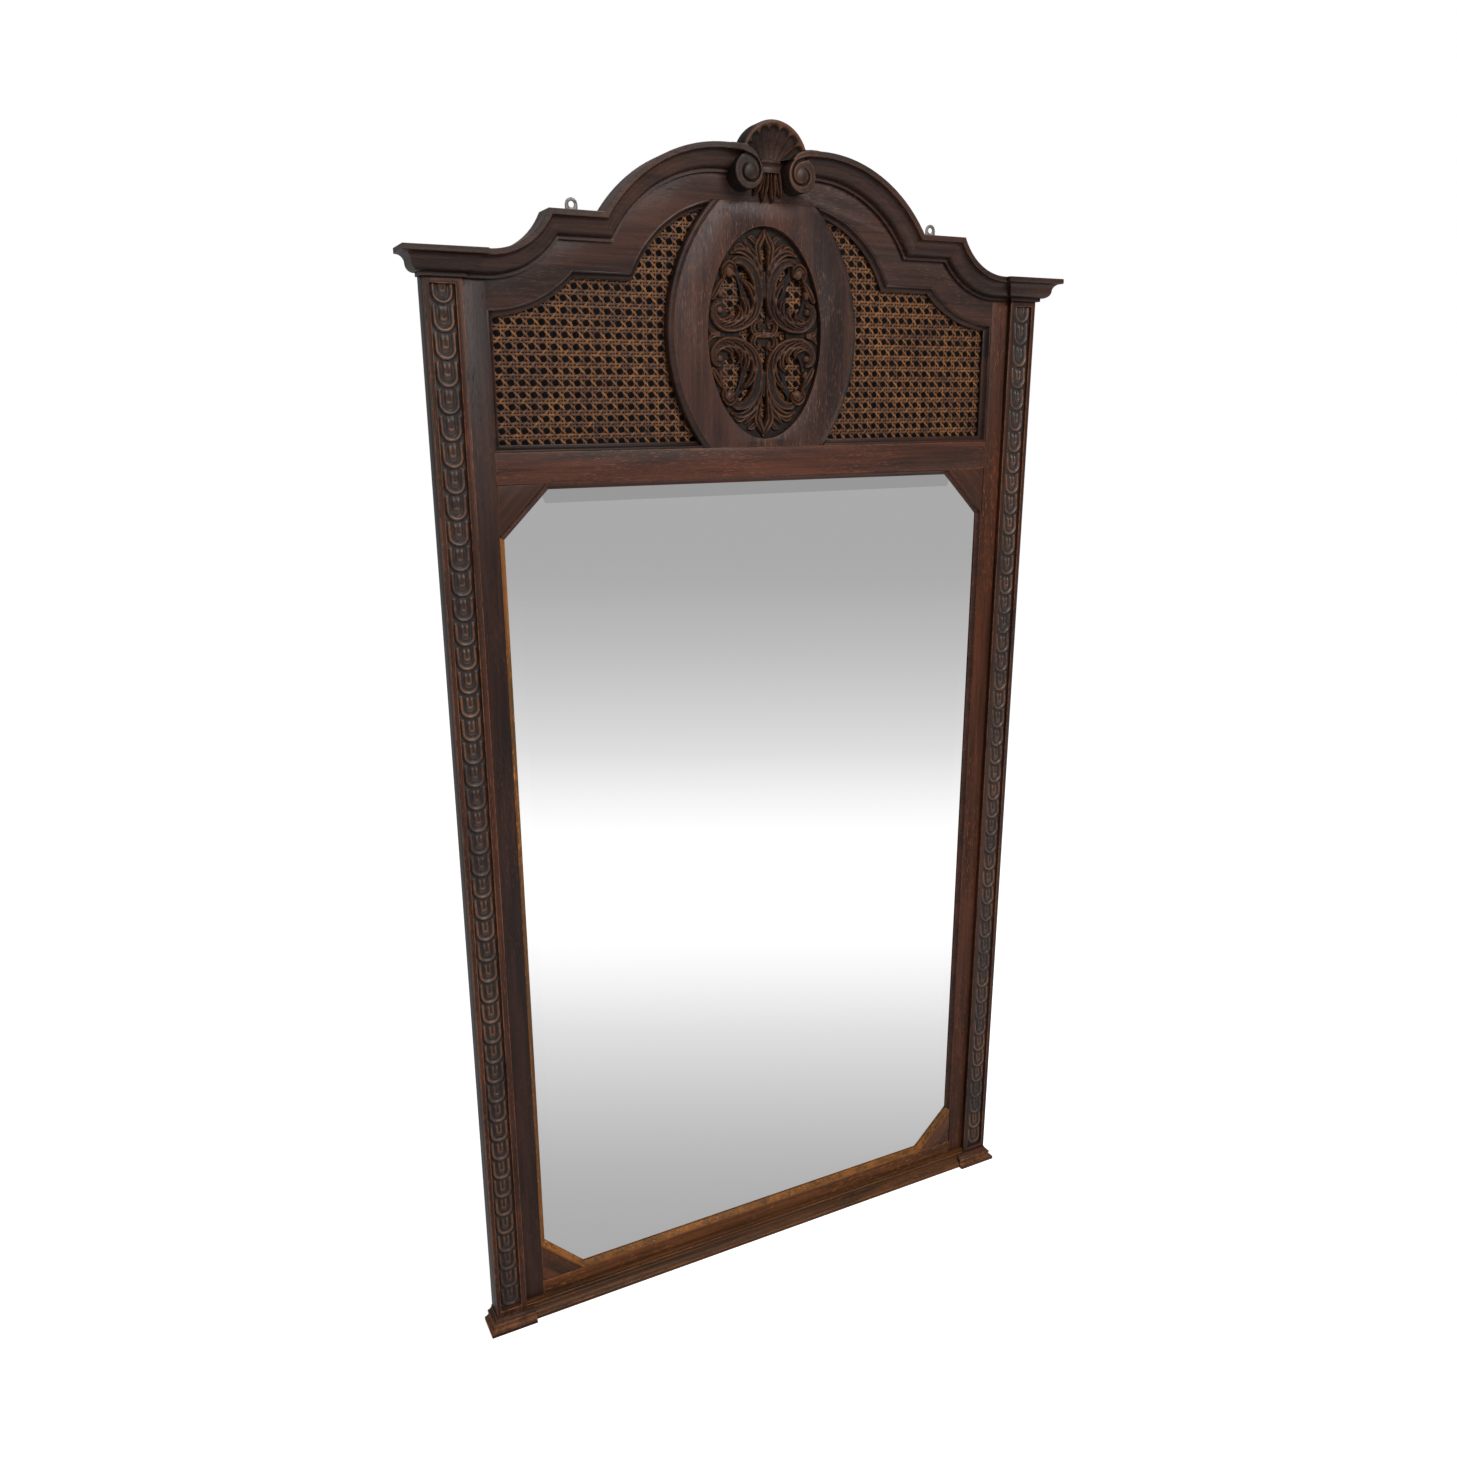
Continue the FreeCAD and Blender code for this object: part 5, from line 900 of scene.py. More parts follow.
QUADRANT = (
    # the big scroll: from its ball over the top, down the middle and round to the low ball
    (channelled, ((-47, 79, 3.4, 4.4), (-40, 86.5, 5.0, 5.4), (-27, 84.5, 6.4, 6.2), (-14.5, 72, 7.6, 6.6),
                  (-9, 54, 7.6, 6.6), (-10, 36, 7.8, 6.4), (-19, 20.5, 8.2, 6.2), (-35, 11.5, 8.2, 6.0),
                  (-53, 9.5, 7.6, 5.8), (-66, 15.5, 6.4, 5.6), (-71.5, 25.5, 5.2, 5.4), (-69, 34, 4.2, 5.2),
                  (-63, 36.5, 3.0, 4.6))),
    (rounded, ((-50, 74.5, 7.2, 6.2), (-49, 73.5, 7.2, 6.2))),
    (leafy, ((-56.5, 67, 2.8, 5.4), (-57.5, 76, 3.8, 6.8), (-50, 82.5, 4.4, 7.2), (-42.5, 78, 3.6, 6.6),
             (-42.5, 70, 1.6, 4.8))),
    (rounded, ((-63, 28.5, 5.0, 5.6), (-62.5, 28.5, 5.0, 5.6))),
    # outer leaf that springs from the middle and ends in a tip over the scroll
    (leafy, ((-4.5, 55, 3.0, 5.6), (-7, 74, 4.4, 6.0), (-16, 89, 5.4, 5.6), (-31, 97.5, 5.0, 5.0),
             (-46, 95, 1.6, 3.6))),
    # lobes of the leaf that lines the scroll
    (leafy, ((-29, 12.5, 3.0, 6.0), (-17.5, 23, 4.2, 6.8), (-13.5, 38, 4.8, 7.0), (-17, 51, 4.8, 6.4),
             (-24, 60, 3.6, 5.4), (-32, 64.5, 1.2, 3.2))),
    (leafy, ((-44, 9.5, 2.8, 6.0), (-32, 15.5, 4.0, 6.8), (-25, 26, 4.6, 6.8), (-25.5, 37, 4.0, 5.8),
             (-31.5, 44.5, 1.2, 3.0))),
    (leafy, ((-56, 9.5, 2.6, 5.8), (-44, 13.5, 3.8, 6.6), (-35.5, 20.5, 4.2, 6.4), (-33, 28, 3.2, 5.2),
             (-37, 35, 1.2, 3.0))),
    (leafy, ((-64, 15, 2.4, 5.6), (-54, 16.5, 3.6, 6.0), (-46.5, 20.5, 3.4, 5.4), (-46, 27.5, 1.2, 3.0))),
    # bud by the rim
    (leafy, ((-72, 42, 3.4, 4.4), (-67, 50, 4.6, 5.4), (-62, 58, 3.8, 4.8), (-57, 65, 1.4, 3.4))),
    (rounded, ((-60, 50, 3.4, 5.0), (-61.5, 46, 3.6, 5.0))),
    # palmette at the end of the oval
    (leafy, ((-6, 66, 3.2, 5.6), (-7.5, 88, 4.4, 5.8), (-9.5, 103, 5.4, 5.6), (-4, 114, 4.6, 5.4),
             (-0.8, 123, 1.2, 3.2))),
    (leafy, ((-9, 78, 3.2, 5.0), (-14, 93, 4.4, 4.8), (-22, 103, 3.4, 4.2), (-27, 108, 1.2, 2.6))),
    (leafy, ((-24, 98, 3.0, 3.8), (-34, 103, 4.2, 3.8), (-41, 101, 1.6, 2.6))),
    (leafy, ((-12, 108, 3.0, 3.6), (-17, 113, 3.8, 3.6), (-22, 114, 1.2, 2.4))),
    # small curl at the middle
    (leafy, ((-2, -1, 2.6, 4.2), (-11, 0.5, 3.6, 4.8), (-16.5, 8, 4.0, 5.0), (-13, 16, 3.6, 4.8),
             (-7, 14.5, 2.8, 4.2), (-7.5, 9.5, 2.2, 3.8))),
    # leaf between the two big scrolls at the side
    (leafy, ((-64, 1, 3.0, 3.8), (-72, 2, 3.8, 4.0), (-77.5, 9, 1.6, 3.0))),
)
STEM = (
    (rounded, ((0, 46, 3.4, 4.6), (0, 62, 3.6, 4.6), (0, 74, 2.0, 4.0))),
    (rounded, ((0, -46, 3.4, 4.6), (0, -62, 3.6, 4.6), (0, -74, 2.0, 4.0))),
    (rounded, ((0, -1, 3.4, 3.8), (0, 5, 2.6, 3.6))),
)
PIERCED = (
    # across, up, half width, half height, lean in degrees
    (-45, 47, 13, 27, 8), (-26, 71.5, 13, 5, -39), (0, 90, 4, 18, 0), (0, 28, 5.5, 15, 0),
    (-25, 2, 9, 6, 20), (-23.5, 51, 9, 3, -65),
)


def oval_height(x, z):
    """Height of the carving over its ground, in millimetres, at places given in millimetres."""
    strokes = [(placed(points, side, half), section)
               for side in (1, -1) for half in (1, -1) for section, points in QUADRANT]
    strokes += [(points, section) for section, points in STEM]
    return np.maximum.reduce([stroke(x, z, points, section) for points, section in strokes])


def oval_pierced(x, z):
    """Below zero inside the openings, in millimetres."""
    inside = np.full(x.shape, FAR)
    for px, pz, half_x, half_z, lean in PIERCED:
        for side in (1, -1):
            for half in (1, -1):
                angle = math.radians(lean) * side * half
                dx, dz = x - side * px, z - half * pz
                along = dx * math.cos(angle) + dz * math.sin(angle)
                up = -dx * math.sin(angle) + dz * math.cos(angle)
                share = np.hypot(along / half_x, up / half_z)
                inside = np.minimum(inside, (share - 1) * min(half_x, half_z))
    return inside


OVAL_GROUND = 8 * MM
# the oval's ground, and the carving within this of it, is darkened as painted shade
OVAL_DEEP = 1 * MM
# the openings stop where a stroke stands higher than this, in millimetres
STROKE_STANDS = 1.2


class MIRROR_OT_oval(bpy.types.Operator):
    """Carve the pierced oval"""
    bl_idname = "mirror.oval"
    bl_label = "Oval carving"

    def execute(self, context):
        size = sizes()
        half_x, half_z = size.oval_width / 2, size.oval_high / 2
        ground = FACE + OVAL_GROUND

        def height(x, z):
            return oval_height(x / MM, (z - size.oval_z) / MM)

        def outline(x, z):
            rim = (np.hypot(x / half_x, (z - size.oval_z) / half_z) - 1) * half_x
            open_here = oval_pierced(x / MM, (z - size.oval_z) / MM)
            return np.maximum(rim, np.minimum(-open_here, STROKE_STANDS - height(x, z)) * MM)

        reach_x, reach_z = half_x + CARVING_MARGIN, half_z + CARVING_MARGIN
        carve("oval_carving_leaves", (-reach_x, size.oval_z - reach_z), (reach_x, size.oval_z + reach_z),
              size.carving_step, lambda x, z: ground - height(x, z) * MM, outline, REBATE,
              ("oval_carving",), blur=4.0, shade_behind=ground - OVAL_DEEP)
        return {"FINISHED"}


# Scales

SCALE_HALF = 12.9
SCALE_BED = 0.3
SCALE_STEP = 1.05 * MM
TOP_SCALE_HIDDEN = 7.6 * MM
FLAT_FOOT = 4 * MM


def scale_height(across, down, pitch):
    """Height of one scale, in millimetres; down runs from 0 under the last scale to its own end."""
    centre = pitch - SCALE_HALF - 0.4
    outer = np.hypot(across, np.maximum(down - centre, 0)) / SCALE_HALF
    reach = np.hypot(across, np.maximum(down - centre + 3.5, 0))
    tilt = 0.5 + 2.5 * down / pitch
    rim = 1.0 * ridge(outer, 0.80, 0.14)
    groove = 1.1 * ridge(outer, 0.50, 0.13)
    tongue = 1.6 * ridge(reach, 2.7, 1.4) * ramp(down - 3, 3)
    return SCALE_BED + (tilt + rim - groove + tongue - SCALE_BED) * ramp(1 - outer, 0.10)


class MIRROR_OT_scales(bpy.types.Operator):
    """Carve the strips of overlapping scales in the pilasters"""
    bl_idname = "mirror.scales"
    bl_label = "Scale strips"

    def execute(self, context):
        pitch = sizes().scale_pitch
        for side in SIDES:
            node = "scale_strip_" + side
            low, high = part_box(node)
            middle = (low.x + high.x) / 2
            seat = high.y

            def surface(x, z):
                down = np.mod(high.z + TOP_SCALE_HIDDEN - z, pitch) / MM
                raised = scale_height((x - middle) / MM, down, pitch / MM)
                return seat - (0.7 + raised * ramp(z - low.z - FLAT_FOOT, 2 * MM)) * MM

            def outline(x, z):
                return np.maximum(np.maximum(low.x - x, x - high.x), np.maximum(low.z - z, z - high.z))

            carve(node + "_carved", (low.x, low.z), (high.x, high.z), SCALE_STEP, surface, outline, seat,
                  (node,), "oak_scales", smooth=60, blur=2.0)
        return {"FINISHED"}


# Volutes

VOLUTE_GROOVE = (
    (60, 1540.0, 1.9, 3.4), (47, 1539.6, 1.9, 3.4), (35.5, 1537.0, 1.9, 3.4), (27.7, 1533.1, 1.9, 3.4),
    (23.5, 1526.6, 1.8, 3.2), (22.7, 1519.7, 1.8, 3.0), (24.9, 1513.6, 1.7, 2.8), (29.7, 1509.7, 1.7, 2.8),
    (35.5, 1508.7, 1.7, 2.8), (40.8, 1510.5, 1.7, 2.8), (44.4, 1514.5, 1.6, 2.6), (45.5, 1519.7, 1.5, 2.2),
    (43.6, 1524.4, 1.3, 1.6), (39.9, 1527.3, 1.1, 1.0))
VOLUTE_LIP = ((61, 1545.3, 3.6, 0), (46, 1545.2, 3.7, 0), (33.5, 1541.2, 4.0, 0), (28, 1536, 4.2, 0))
VOLUTE_DISC = (36.3, 1519.9, 18.9, 20.0)
# the button at its middle: across, up, radius, height
VOLUTE_BUTTON = (35.5, 1519.0, 8.6, 2.0)
VOLUTE_REACH = (14 * MM, 60 * MM)
VOLUTE_STEP = 0.5 * MM
VOLUTE_PROUD = 0.6 * MM


class MIRROR_OT_volutes(bpy.types.Operator):
    """Carve the scroll at each side of the shell"""
    bl_idname = "mirror.volutes"
    bl_label = "Volutes"

    def execute(self, context):
        front = CORNICE_FRONT - VOLUTE_PROUD
        for label, side in (("left", -1), ("right", 1)):
            node = "volute_" + label
            groove, lip = placed(VOLUTE_GROOVE, side), placed(VOLUTE_LIP, side)

            def outline(x, z):
                across, up, half_x, half_z = VOLUTE_DISC
                share = np.hypot((x / MM - side * across) / half_x, (z / MM - up) / half_z)
                return np.minimum((share - 1) * half_x, away_from(x / MM, z / MM, lip)) * MM

            def surface(x, z):
                across, up, radius, high = VOLUTE_BUTTON
                cut = stroke(x / MM, z / MM, groove, rounded)
                inward = ramp(-outline(x, z), 1.5 * MM)
                centre = np.hypot(x / MM - side * across, z / MM - up)
                rise = high * np.sqrt(np.clip(1 - (centre / radius) ** 2, 0, 1))
                return front + (cut + 1.2 * (1 - inward) ** 2 - rise + 0.5) * MM

            low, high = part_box(node)
            left, right = sorted(side * reach for reach in VOLUTE_REACH)
            carve(node + "_scroll", (left, low.z - CARVING_MARGIN), (right, high.z + CARVING_MARGIN),
                  VOLUTE_STEP, surface, outline, FACE, (node,))
        return {"FINISHED"}


# Shell

FLUTE_PITCH = 22
FAN_SPREAD = 77
SHELL_STEP = 0.6 * MM
HUB = 1533 * MM
LEAVES_REACH = 24 * MM
COLLAR_HALF = 13 * MM
COLLAR_HIGH = 14 * MM
COLLAR_FOOT = HUB - 11 * MM


def fan_height(across, up):
    """How far the fan stands out, in millimetres, at places measured from its hub."""
    radius = np.hypot(across, up)
    angle = np.degrees(np.arctan2(across, up + 14 * np.exp(-radius / 14)))
    swell = 9 + 17 * ramp(radius, 46) ** 1.5
    share = (np.mod(angle + FLUTE_PITCH / 2, FLUTE_PITCH) / FLUTE_PITCH - 0.5) * 2
    share = np.where(np.abs(angle) > FAN_SPREAD, 1.0, share)
    flute = np.clip(1 - share ** 2, 0, 1)
    top = 34.5 + 7 * np.sqrt(flute)
    depth = 3.7 * ramp(radius - 5, 18) * ramp(top - radius, 3.6)
    roll = 8 * (1 - np.sqrt(1 - np.clip((radius - 39.5) / 6.6, 0, 0.98) ** 2))
    return swell - flute ** 0.42 * depth - roll


LEAVES = (
    ((4.2, 1524, 4.6, 10.0), (5.0, 1512, 5.0, 9.6), (6.4, 1501, 4.6, 8.0), (7.2, 1491.5, 1.4, 4.5)),
    ((11, 1524, 4.4, 9.4), (13.0, 1513, 5.0, 8.8), (15.4, 1504, 4.4, 7.0), (18.2, 1497.5, 1.4, 4.0)),
)


class MIRROR_OT_shell(bpy.types.Operator):
    """Carve the shell with its collar and leaves"""
    bl_idname = "mirror.shell"
    bl_label = "Shell crest"

    def execute(self, context):
        low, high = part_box("shell_crest")
        self.fan(low, high)
        self.leaves(low)
        self.collar()
        return {"FINISHED"}

    def fan(self, low, high):
        """The ribbed fan over the hub."""
        def outline(x, z):
            reach = np.hypot(x, z - HUB)
            side = np.radians(np.degrees(np.arctan2(np.abs(x), z - HUB)) - FAN_SPREAD) * reach
            return np.maximum(reach - (high.z - HUB), side)

        carve("shell_fan", (low.x - 4 * MM, HUB - 1 * MM), (high.x + 4 * MM, high.z + 1 * MM), SHELL_STEP,
              lambda x, z: FACE - fan_height(x / MM, (z - HUB) / MM) * MM, outline, high.y,
              ("shell_crest",))

    def leaves(self, low):
        """The leaves that hang from the collar."""
        leaves = [placed(points, side) for points in LEAVES for side in (1, -1)]

        def outline(x, z):
            return np.minimum.reduce([away_from(x / MM, z / MM, points) for points in leaves]) * MM

        def surface(x, z):
            raised = np.maximum.reduce([stroke(x / MM, z / MM, points, leafy) for points in leaves])
            return FACE - (0.5 + raised) * MM

        carve("shell_leaves", (-LEAVES_REACH, low.z - CARVING_MARGIN), (LEAVES_REACH, HUB - 6 * MM),
              SHELL_STEP, surface, outline, FACE)

    def collar(self):
        """The band that ties the fan to the leaves."""
        def outline(x, z):
            return np.maximum(np.abs(x) - COLLAR_HALF,
                              np.abs(z - COLLAR_FOOT - COLLAR_HIGH / 2) - COLLAR_HIGH / 2)

        def surface(x, z):
            across = ramp(np.abs(x), COLLAR_HALF)
            up = (z - COLLAR_FOOT) / COLLAR_HIGH
            waist = 1.6 * ridge(up, 0.62, 0.16)
            lip = 1.2 * ridge(up, 0.86, 0.10)
            return FACE - (13.0 - 2.2 * across ** 2 - waist + lip) * MM

        carve("shell_collar", (-14 * MM, HUB - 12 * MM), (14 * MM, HUB + 4 * MM), SHELL_STEP, surface,
              outline, FACE)


# Cane

# half the width of a strand and its tone, by the way it runs; the falling strands' higher tone is a painted
# highlight
STRANDS = {"upright": (1.2 * MM, 0.42), "level": (1.2 * MM, 0.40), "falling": (1.1 * MM, 0.50),
           "rising": (1.1 * MM, 0.36)}
# its four corners: share of the half width, and how far back
STRAND_SECTION = ((1, 0.1 * MM), (0, -0.35 * MM), (-1, 0.1 * MM), (0, 0.45 * MM))
STRAND_RISE = 0.75 * MM
STRAND_SET_BACK = 1.0 * MM
PAIR_SPREAD = 1.9 * MM
STEPS_PER_PITCH = 8
FIRST_HOLE_UP = 0.23
LEAN = 1 / math.sqrt(2)
REGION_MARGIN = 8 * MM
WINDOW_MARGIN = 5 * MM
OVAL_MARGIN = 1 * MM


def window_shows(x, z):
    """Whether the windows leave this place open to view, with a margin hidden under the beads."""
    size, margin = sizes(), WINDOW_MARGIN
    across = abs(x)
    if z < RAIL_TOP - margin or across > STILE_IN + margin:
        return False
    bow = size.splat_centre_x + math.sqrt(
        max((size.splat_radius - margin) ** 2 - (z - size.oval_z) ** 2, 0))
    if across < bow:
        return False
    from_cove = math.hypot(across - STILE_IN, z - size.window_cove_z)
    if z < size.window_cove_z - size.window_cove_radius:
        return True
    if z < size.window_step_z + margin:
        return across < STILE_IN - size.window_cove_radius or from_cove > size.window_cove_radius - margin
    return math.hypot(across - size.window_arch_x, z - size.window_arch_z) < (
        size.window_arch_radius + margin)


def oval_shows(x, z):
    """Whether this place lies behind the oval, with a margin hidden under its rim."""
    size = sizes()
    across = x / (size.oval_width / 2 + OVAL_MARGIN)
    return math.hypot(across, (z - size.oval_z) / (size.oval_high / 2 + OVAL_MARGIN)) < 1


def strand_level(kind, sign, u, v):
    """How far the strand stands forward, from -1 to 1, at angles u and v of the weave's round."""
    if kind == "upright":
        return 0.45 * sign * math.sin(v) * math.cos(v / 2) ** 2 - 0.1
    if kind == "level":
        return -0.45 * sign * math.sin(u) * math.cos(u / 2) ** 2 + 0.1
    lift = 0.5 * (math.cos(u) - math.cos(v))
    return lift if kind == "falling" else -lift


class MIRROR_OT_cane(bpy.types.Operator):
    """Weave the cane behind the windows and the oval"""
    bl_idname = "mirror.cane"
    bl_label = "Cane"

    def execute(self, context):
        half_oval = sizes().oval_width / 2
        regions = (
            ("left", lambda x, z: x < 0 and window_shows(x, z), -STILE_IN, 0, ()),
            ("right", lambda x, z: x > 0 and window_shows(x, z), 0, STILE_IN, ()),
            ("middle", oval_shows, -half_oval, half_oval, ("cane_panel",)))
        for label, shows, left, right, nodes in regions:
            runs = self.runs(shows, left - REGION_MARGIN, right + REGION_MARGIN)
            self.weave("woven_cane_" + label, runs, nodes)
        return {"FINISHED"}

    def runs(self, shows, left, right):
        """The visible runs of every strand in the region: its kind, and (x, z, level) of each point."""
        pitch = sizes().cane_pitch
        low, top = RAIL_TOP - REGION_MARGIN, SPLAT_TOP + REGION_MARGIN
        hole_x, hole_z = STILE_IN, RAIL_TOP + FIRST_HOLE_UP * pitch
        middle = Vector(((left + right) / 2, (low + top) / 2))
        reach = math.hypot(right - left, top - low) / 2 + pitch
        step = pitch / STEPS_PER_PITCH
        count = int(reach / step)
        for kind, sign, start, way in self.strands(middle, reach, pitch, hole_x, hole_z):
            first = round((middle - start).dot(way) / step)
            run = []
            for place in range(first - count, first + count + 2):
                point = start + way * (place * step)
                if place <= first + count and shows(point.x, point.y):
                    u = (point.x - hole_x) / pitch * 2 * math.pi
                    v = (point.y - hole_z) / pitch * 2 * math.pi
                    run.append((point.x, point.y, strand_level(kind, sign, u, v)))
                    continue
                if len(run) > 2:
                    yield kind, run
                run = []

    def strands(self, middle, reach, pitch, hole_x, hole_z):
        """Every strand near the middle: its kind, its side of the pair, a point on it and its way."""
        hole = Vector((hole_x, hole_z))
        between = Vector((hole_x + 0.5 * pitch, hole_z))
        spacing = pitch * LEAN
        families = (
            # kind, its way, the way to the next strand, spacing, origin, sides of the pair
            ("upright", (0, 1), (1, 0), pitch, hole, (-1, 1)),
            ("level", (1, 0), (0, 1), pitch, hole, (-1, 1)),
            ("falling", (LEAN, -LEAN), (-LEAN, -LEAN), spacing, between, (0,)),
            ("rising", (LEAN, LEAN), (-LEAN, LEAN), spacing, between, (0,)))
        for kind, way, side, spacing, origin, signs in families:
            side = Vector(side)
            base = round((middle - origin).dot(side) / spacing)
            count = int(reach / spacing) + 1
            for index in range(base - count, base + count + 1):
                for sign in signs:
                    shift = side * (index * spacing + sign * PAIR_SPREAD)
                    yield kind, sign, origin + shift, Vector(way)

    def weave(self, name, runs, nodes):
        """One mesh of split cane strands, each a low crowned ribbon of four corners."""
        points, faces, tones_with_painted_light = [], [], []
        for number, (kind, run) in enumerate(runs):
            half, shade = STRANDS[kind]
            shade += 0.14 * math.sin(2.4 * number)
            start = len(points)
            for index, (x, z, level) in enumerate(run):
                ahead = run[min(index + 1, len(run) - 1)]
                behind = run[max(index - 1, 0)]
                way = Vector((ahead[0] - behind[0], ahead[1] - behind[1])).normalized()
                side = Vector((-way.y, way.x)) * half
                y = REBATE + STRAND_SET_BACK - STRAND_RISE * level
                first = len(points)
                points += [(x + share * side.x, y + back, z + share * side.y)
                           for share, back in STRAND_SECTION]
                # the tone rises where the strand stands forward and falls where it dips under: painted
                # highlight and shade
                tones_with_painted_light += [shade + 0.30 * level] * 4
                if index > 0:
                    for corner in range(first - 4, first):
                        after = first - 4 + (corner + 1 - first) % 4
                        faces.append((corner, after, after + 4, corner + 4))
            faces.append(tuple(range(start, start + 4)))
            faces.append(tuple(range(len(points) - 1, len(points) - 5, -1)))
        piece = mesh_piece(name, points, faces)
        piece.data.attributes.new("tone", "FLOAT", "POINT").data.foreach_set("value", tones_with_painted_light)
        edit(piece)
        bpy.ops.mesh.normals_make_consistent(inside=False)
        leave()
        finish(piece, name, "cane", nodes, smooth=60)


# Glass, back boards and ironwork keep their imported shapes

class MIRROR_OT_kept(bpy.types.Operator):
    """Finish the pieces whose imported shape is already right"""
    bl_idname = "mirror.kept"
    bl_label = "Glass and back"

    def execute(self, context):
        # the cane's backing takes the near-black board: painted shade behind the weave
        kept = {"mirror_glass": "mirror_glass", "backboard": "plain_board", "cane_backing": "dark_board"}
        for node, finish_name in kept.items():
            coat(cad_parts[node], finish_name)
        for side in SIDES:
            node = "hanging_eye_" + side
            eased(node, node + "_iron", "black_iron", 0.25 * MM)
        eased("eye_screws", "eye_screw_heads", "screw_steel", 0.2 * MM)
        eased("board_screws", "board_screw_heads", "screw_steel", 0.3 * MM)
        return {"FINISHED"}


# Stage

CAMERA_PLACE = Vector((-0.73438, -1.3442, 1.2506))
CAMERA_RIGHT = Vector((0.89273139, -0.45055418, -0.00562101))
CAMERA_UP = Vector((0.1259523, 0.23754645, 0.96317584))
CAMERA_BACK = Vector((-0.43262765, -0.86056529, 0.26881351))
CAMERA_LENS = 28.53
# the way the glass's sweep runs, from the place of the camera's reflection; the sweep is a painted
# reflection that the floor shows only to glossy rays
SWEEP_WAY = Vector((0.44916, -0.89345, 0))
GLASS_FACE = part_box("mirror_glass")[0].y
SWEEP_START = -Vector((CAMERA_PLACE.x, 2 * GLASS_FACE - CAMERA_PLACE.y, 0)).dot(SWEEP_WAY)
SWEEP_HEIGHT = CAMERA_PLACE.z
SWEEP_STOPS = ((0.10, 0.36), (0.17, 0.36), (0.30, 0.66), (0.385, 0.97), (0.47, 1.0), (0.585, 0.66),
               (0.74, 0.375), (0.9, 0.355))
# name, place, size, power
LAMPS = (("key", (0.6, -2.6, 2.8), 1.6, 66), ("fill", (-1.6, -3.3, 2.6), 1.6, 14),
         ("top", (0.4, -0.2, 3.6), 1.6, 20))
LAMP_AIM = Vector((0, 0, 0.85))


def floor_finish():
    """A white floor that keeps shadows, and in gloss shows a painted reflection: a soft light and dark
    sweep that glows only for glossy rays.
    """
    tree, shader = new_material("studio_floor")
    feed(tree, shader, {"Base Color": (0.82, 0.82, 0.82), "Roughness": 0.9, "Specular IOR Level": 0.0})
    path = node_at(tree, "ShaderNodeLightPath").outputs
    white = node_at(tree, "ShaderNodeEmission", {"Strength": 0.72})
    lit = node_at(tree, "ShaderNodeAddShader", {0: shader.outputs[0], 1: white.outputs[0]})
    seen = node_at(tree, "ShaderNodeMixShader", {
        0: path["Is Camera Ray"], 1: shader.outputs[0], 2: lit.outputs[0]})
    # what polish and glass see of the floor: a painted reflection, a glowing sweep that is brightest a few
    # steps away
    turn = node_at(tree, "ShaderNodeVectorMath", {0: object_place(tree), 1: SWEEP_WAY},
                   operation="DOT_PRODUCT")
    distance = math_node(tree, "MAXIMUM", plus(tree, turn.outputs["Value"], SWEEP_START), 0.3)
    ramp_node = node_at(tree, "ShaderNodeValToRGB", {
        "Fac": math_node(tree, "DIVIDE", SWEEP_HEIGHT, distance)})
    stops = ramp_node.color_ramp
    stops.interpolation = "B_SPLINE"
    while len(stops.elements) < len(SWEEP_STOPS):
        stops.elements.new(0.5)
    for element, (position, level) in zip(stops.elements, SWEEP_STOPS):
        element.position = position
        element.color = (level, level, level, 1)
    sweep = node_at(tree, "ShaderNodeEmission", {"Color": ramp_node.outputs["Color"], "Strength": 1.28})
    glossy = math_node(tree, "MAXIMUM", path["Is Glossy Ray"], path["Is Transmission Ray"])
    gloss = node_at(tree, "ShaderNodeMixShader", {0: glossy, 1: seen.outputs[0], 2: sweep.outputs[0]})
    feed(tree, tree.nodes["Material Output"], {"Surface": gloss.outputs[0]})


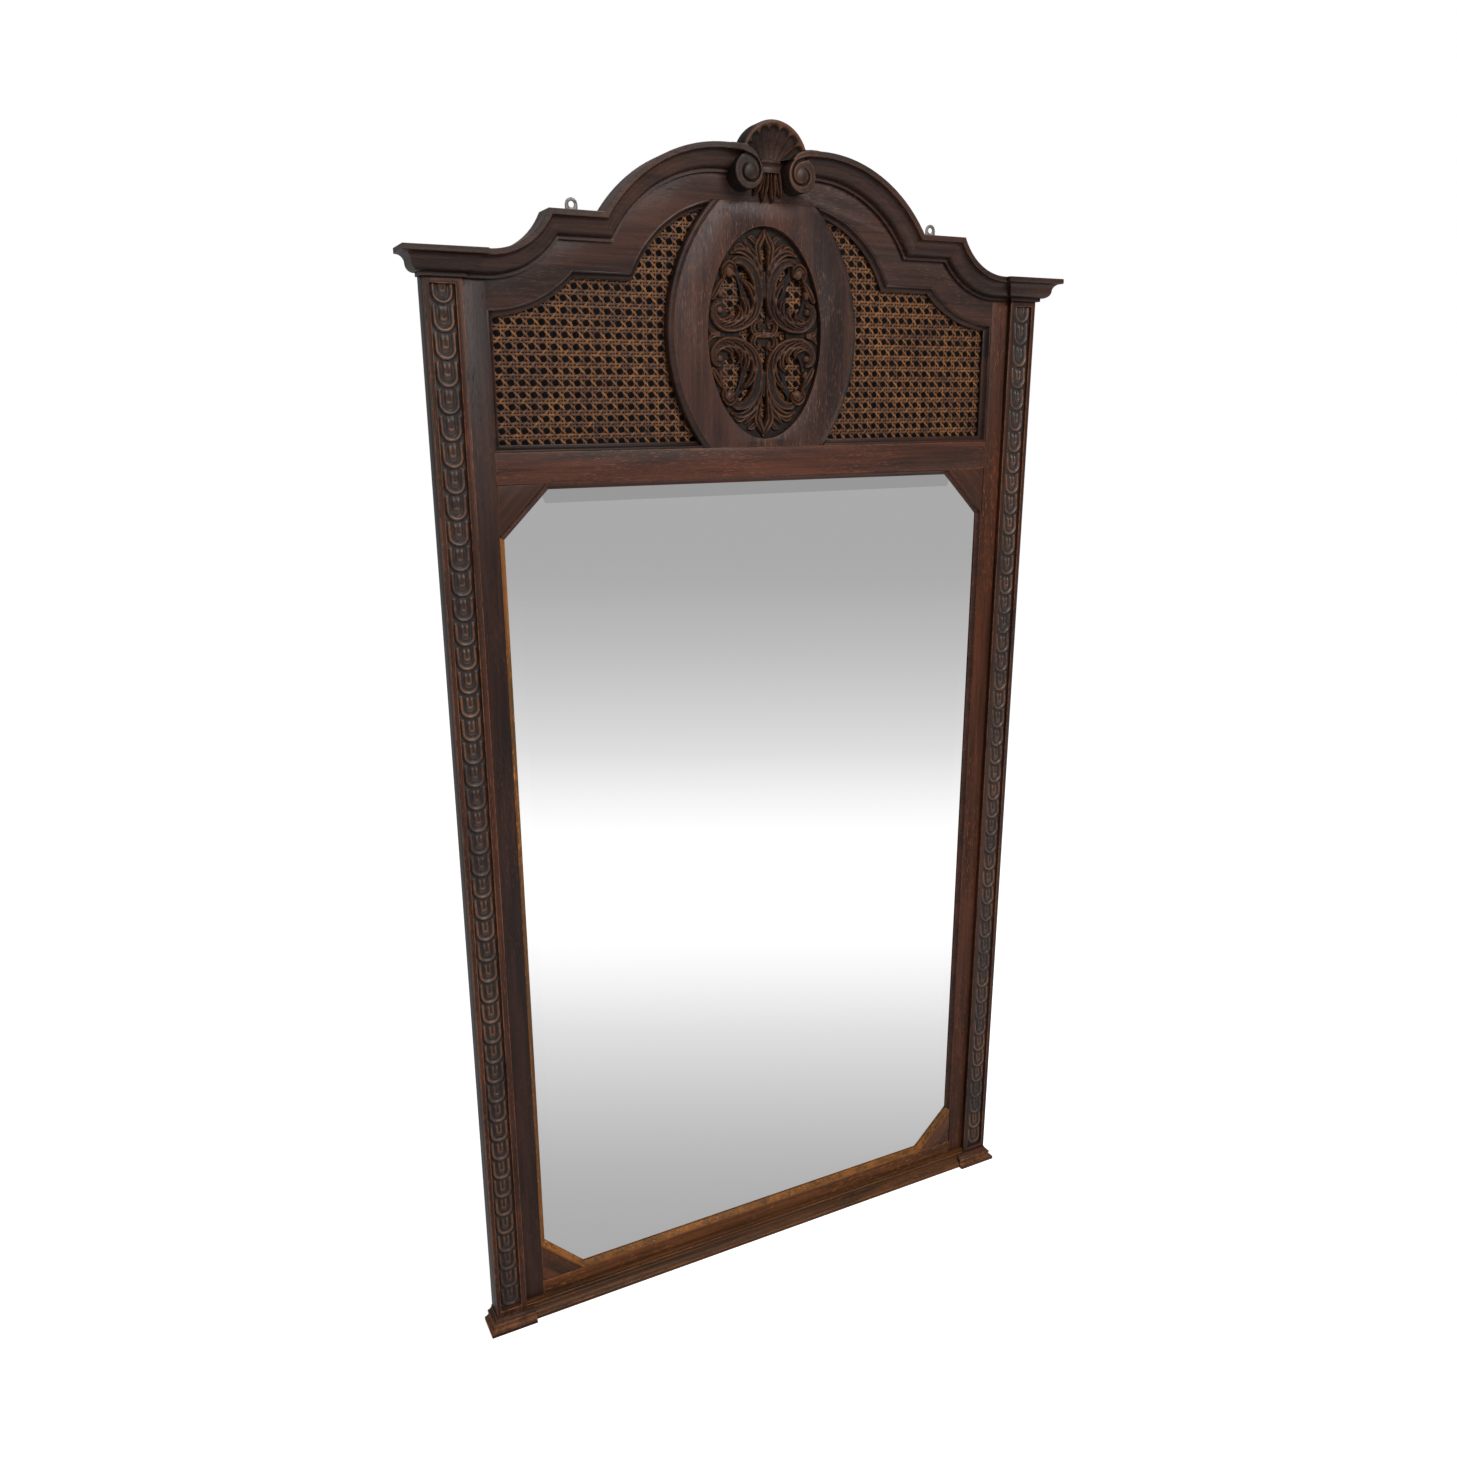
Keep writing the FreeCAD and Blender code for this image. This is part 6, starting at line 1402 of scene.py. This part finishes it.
class MIRROR_OT_stage(bpy.types.Operator):
    """Camera, floor, world and lamps"""
    bl_idname = "mirror.stage"
    bl_label = "Stage"

    def execute(self, context):
        scene = context.scene
        deselect()
        bpy.ops.mesh.primitive_plane_add(size=120, location=(0, 0, 0))
        floor = context.object
        floor.name = "studio_floor"
        floor_finish()
        coat(floor, "studio_floor")
        self.world(scene)
        for name, place, size, power in LAMPS:
            self.lamp(name, place, size, power)
        camera = bpy.data.objects.new("camera", bpy.data.cameras.new("camera"))
        scene.collection.objects.link(camera)
        camera.data.sensor_width = 36
        camera.data.lens = CAMERA_LENS
        camera.data.clip_end = 200
        turned = Matrix((CAMERA_RIGHT, CAMERA_UP, CAMERA_BACK)).transposed().to_4x4()
        camera.matrix_world = Matrix.Translation(CAMERA_PLACE) @ turned
        scene.camera = camera
        scene.view_settings.view_transform = "Standard"
        return {"FINISHED"}

    def world(self, scene):
        world = bpy.data.worlds.new("studio")
        scene.world = world
        world.use_nodes = True
        tree = world.node_tree
        seen = node_at(tree, "ShaderNodeLightPath").outputs["Is Camera Ray"]
        level = mix_colour(tree, seen, (0.36, 0.36, 0.36), (1, 1, 1))
        feed(tree, tree.nodes["Background"], {"Color": level})

    def lamp(self, name, place, size, power):
        data = bpy.data.lights.new(name, "AREA")
        data.shape = "DISK"
        data.size = size
        data.energy = power
        lamp = bpy.data.objects.new(name, data)
        bpy.context.scene.collection.objects.link(lamp)
        lamp.location = place
        lamp.rotation_euler = (LAMP_AIM - Vector(place)).to_track_quat("-Z", "Y").to_euler()


class MIRROR_PT_panel(bpy.types.Panel):
    """Lists the pieces of the mirror"""
    bl_idname = "MIRROR_PT_panel"
    bl_label = "Carved oak mirror"
    bl_space_type = "VIEW_3D"
    bl_region_type = "UI"
    bl_category = "Mirror"

    def draw(self, context):
        for operator in STEPS:
            self.layout.operator(operator.bl_idname)


STEPS = (MIRROR_OT_finishes, MIRROR_OT_boards, MIRROR_OT_cornice, MIRROR_OT_mouldings, MIRROR_OT_oval,
         MIRROR_OT_scales, MIRROR_OT_volutes, MIRROR_OT_shell, MIRROR_OT_cane, MIRROR_OT_kept,
         MIRROR_OT_stage)
CLASSES = (MirrorSizes, MirrorColours) + STEPS + (MIRROR_PT_panel,)


def register():
    for part in CLASSES:
        bpy.utils.register_class(part)
    bpy.types.Scene.mirror_sizes = bpy.props.PointerProperty(type=MirrorSizes)
    bpy.types.Scene.mirror_colours = bpy.props.PointerProperty(type=MirrorColours)


def unregister():
    del bpy.types.Scene.mirror_colours
    del bpy.types.Scene.mirror_sizes
    for part in reversed(CLASSES):
        bpy.utils.unregister_class(part)


def main():
    register()
    for step in STEPS:
        group, action = step.bl_idname.split(".")
        getattr(getattr(bpy.ops, group), action)()


if __name__ == "__main__":
    main()
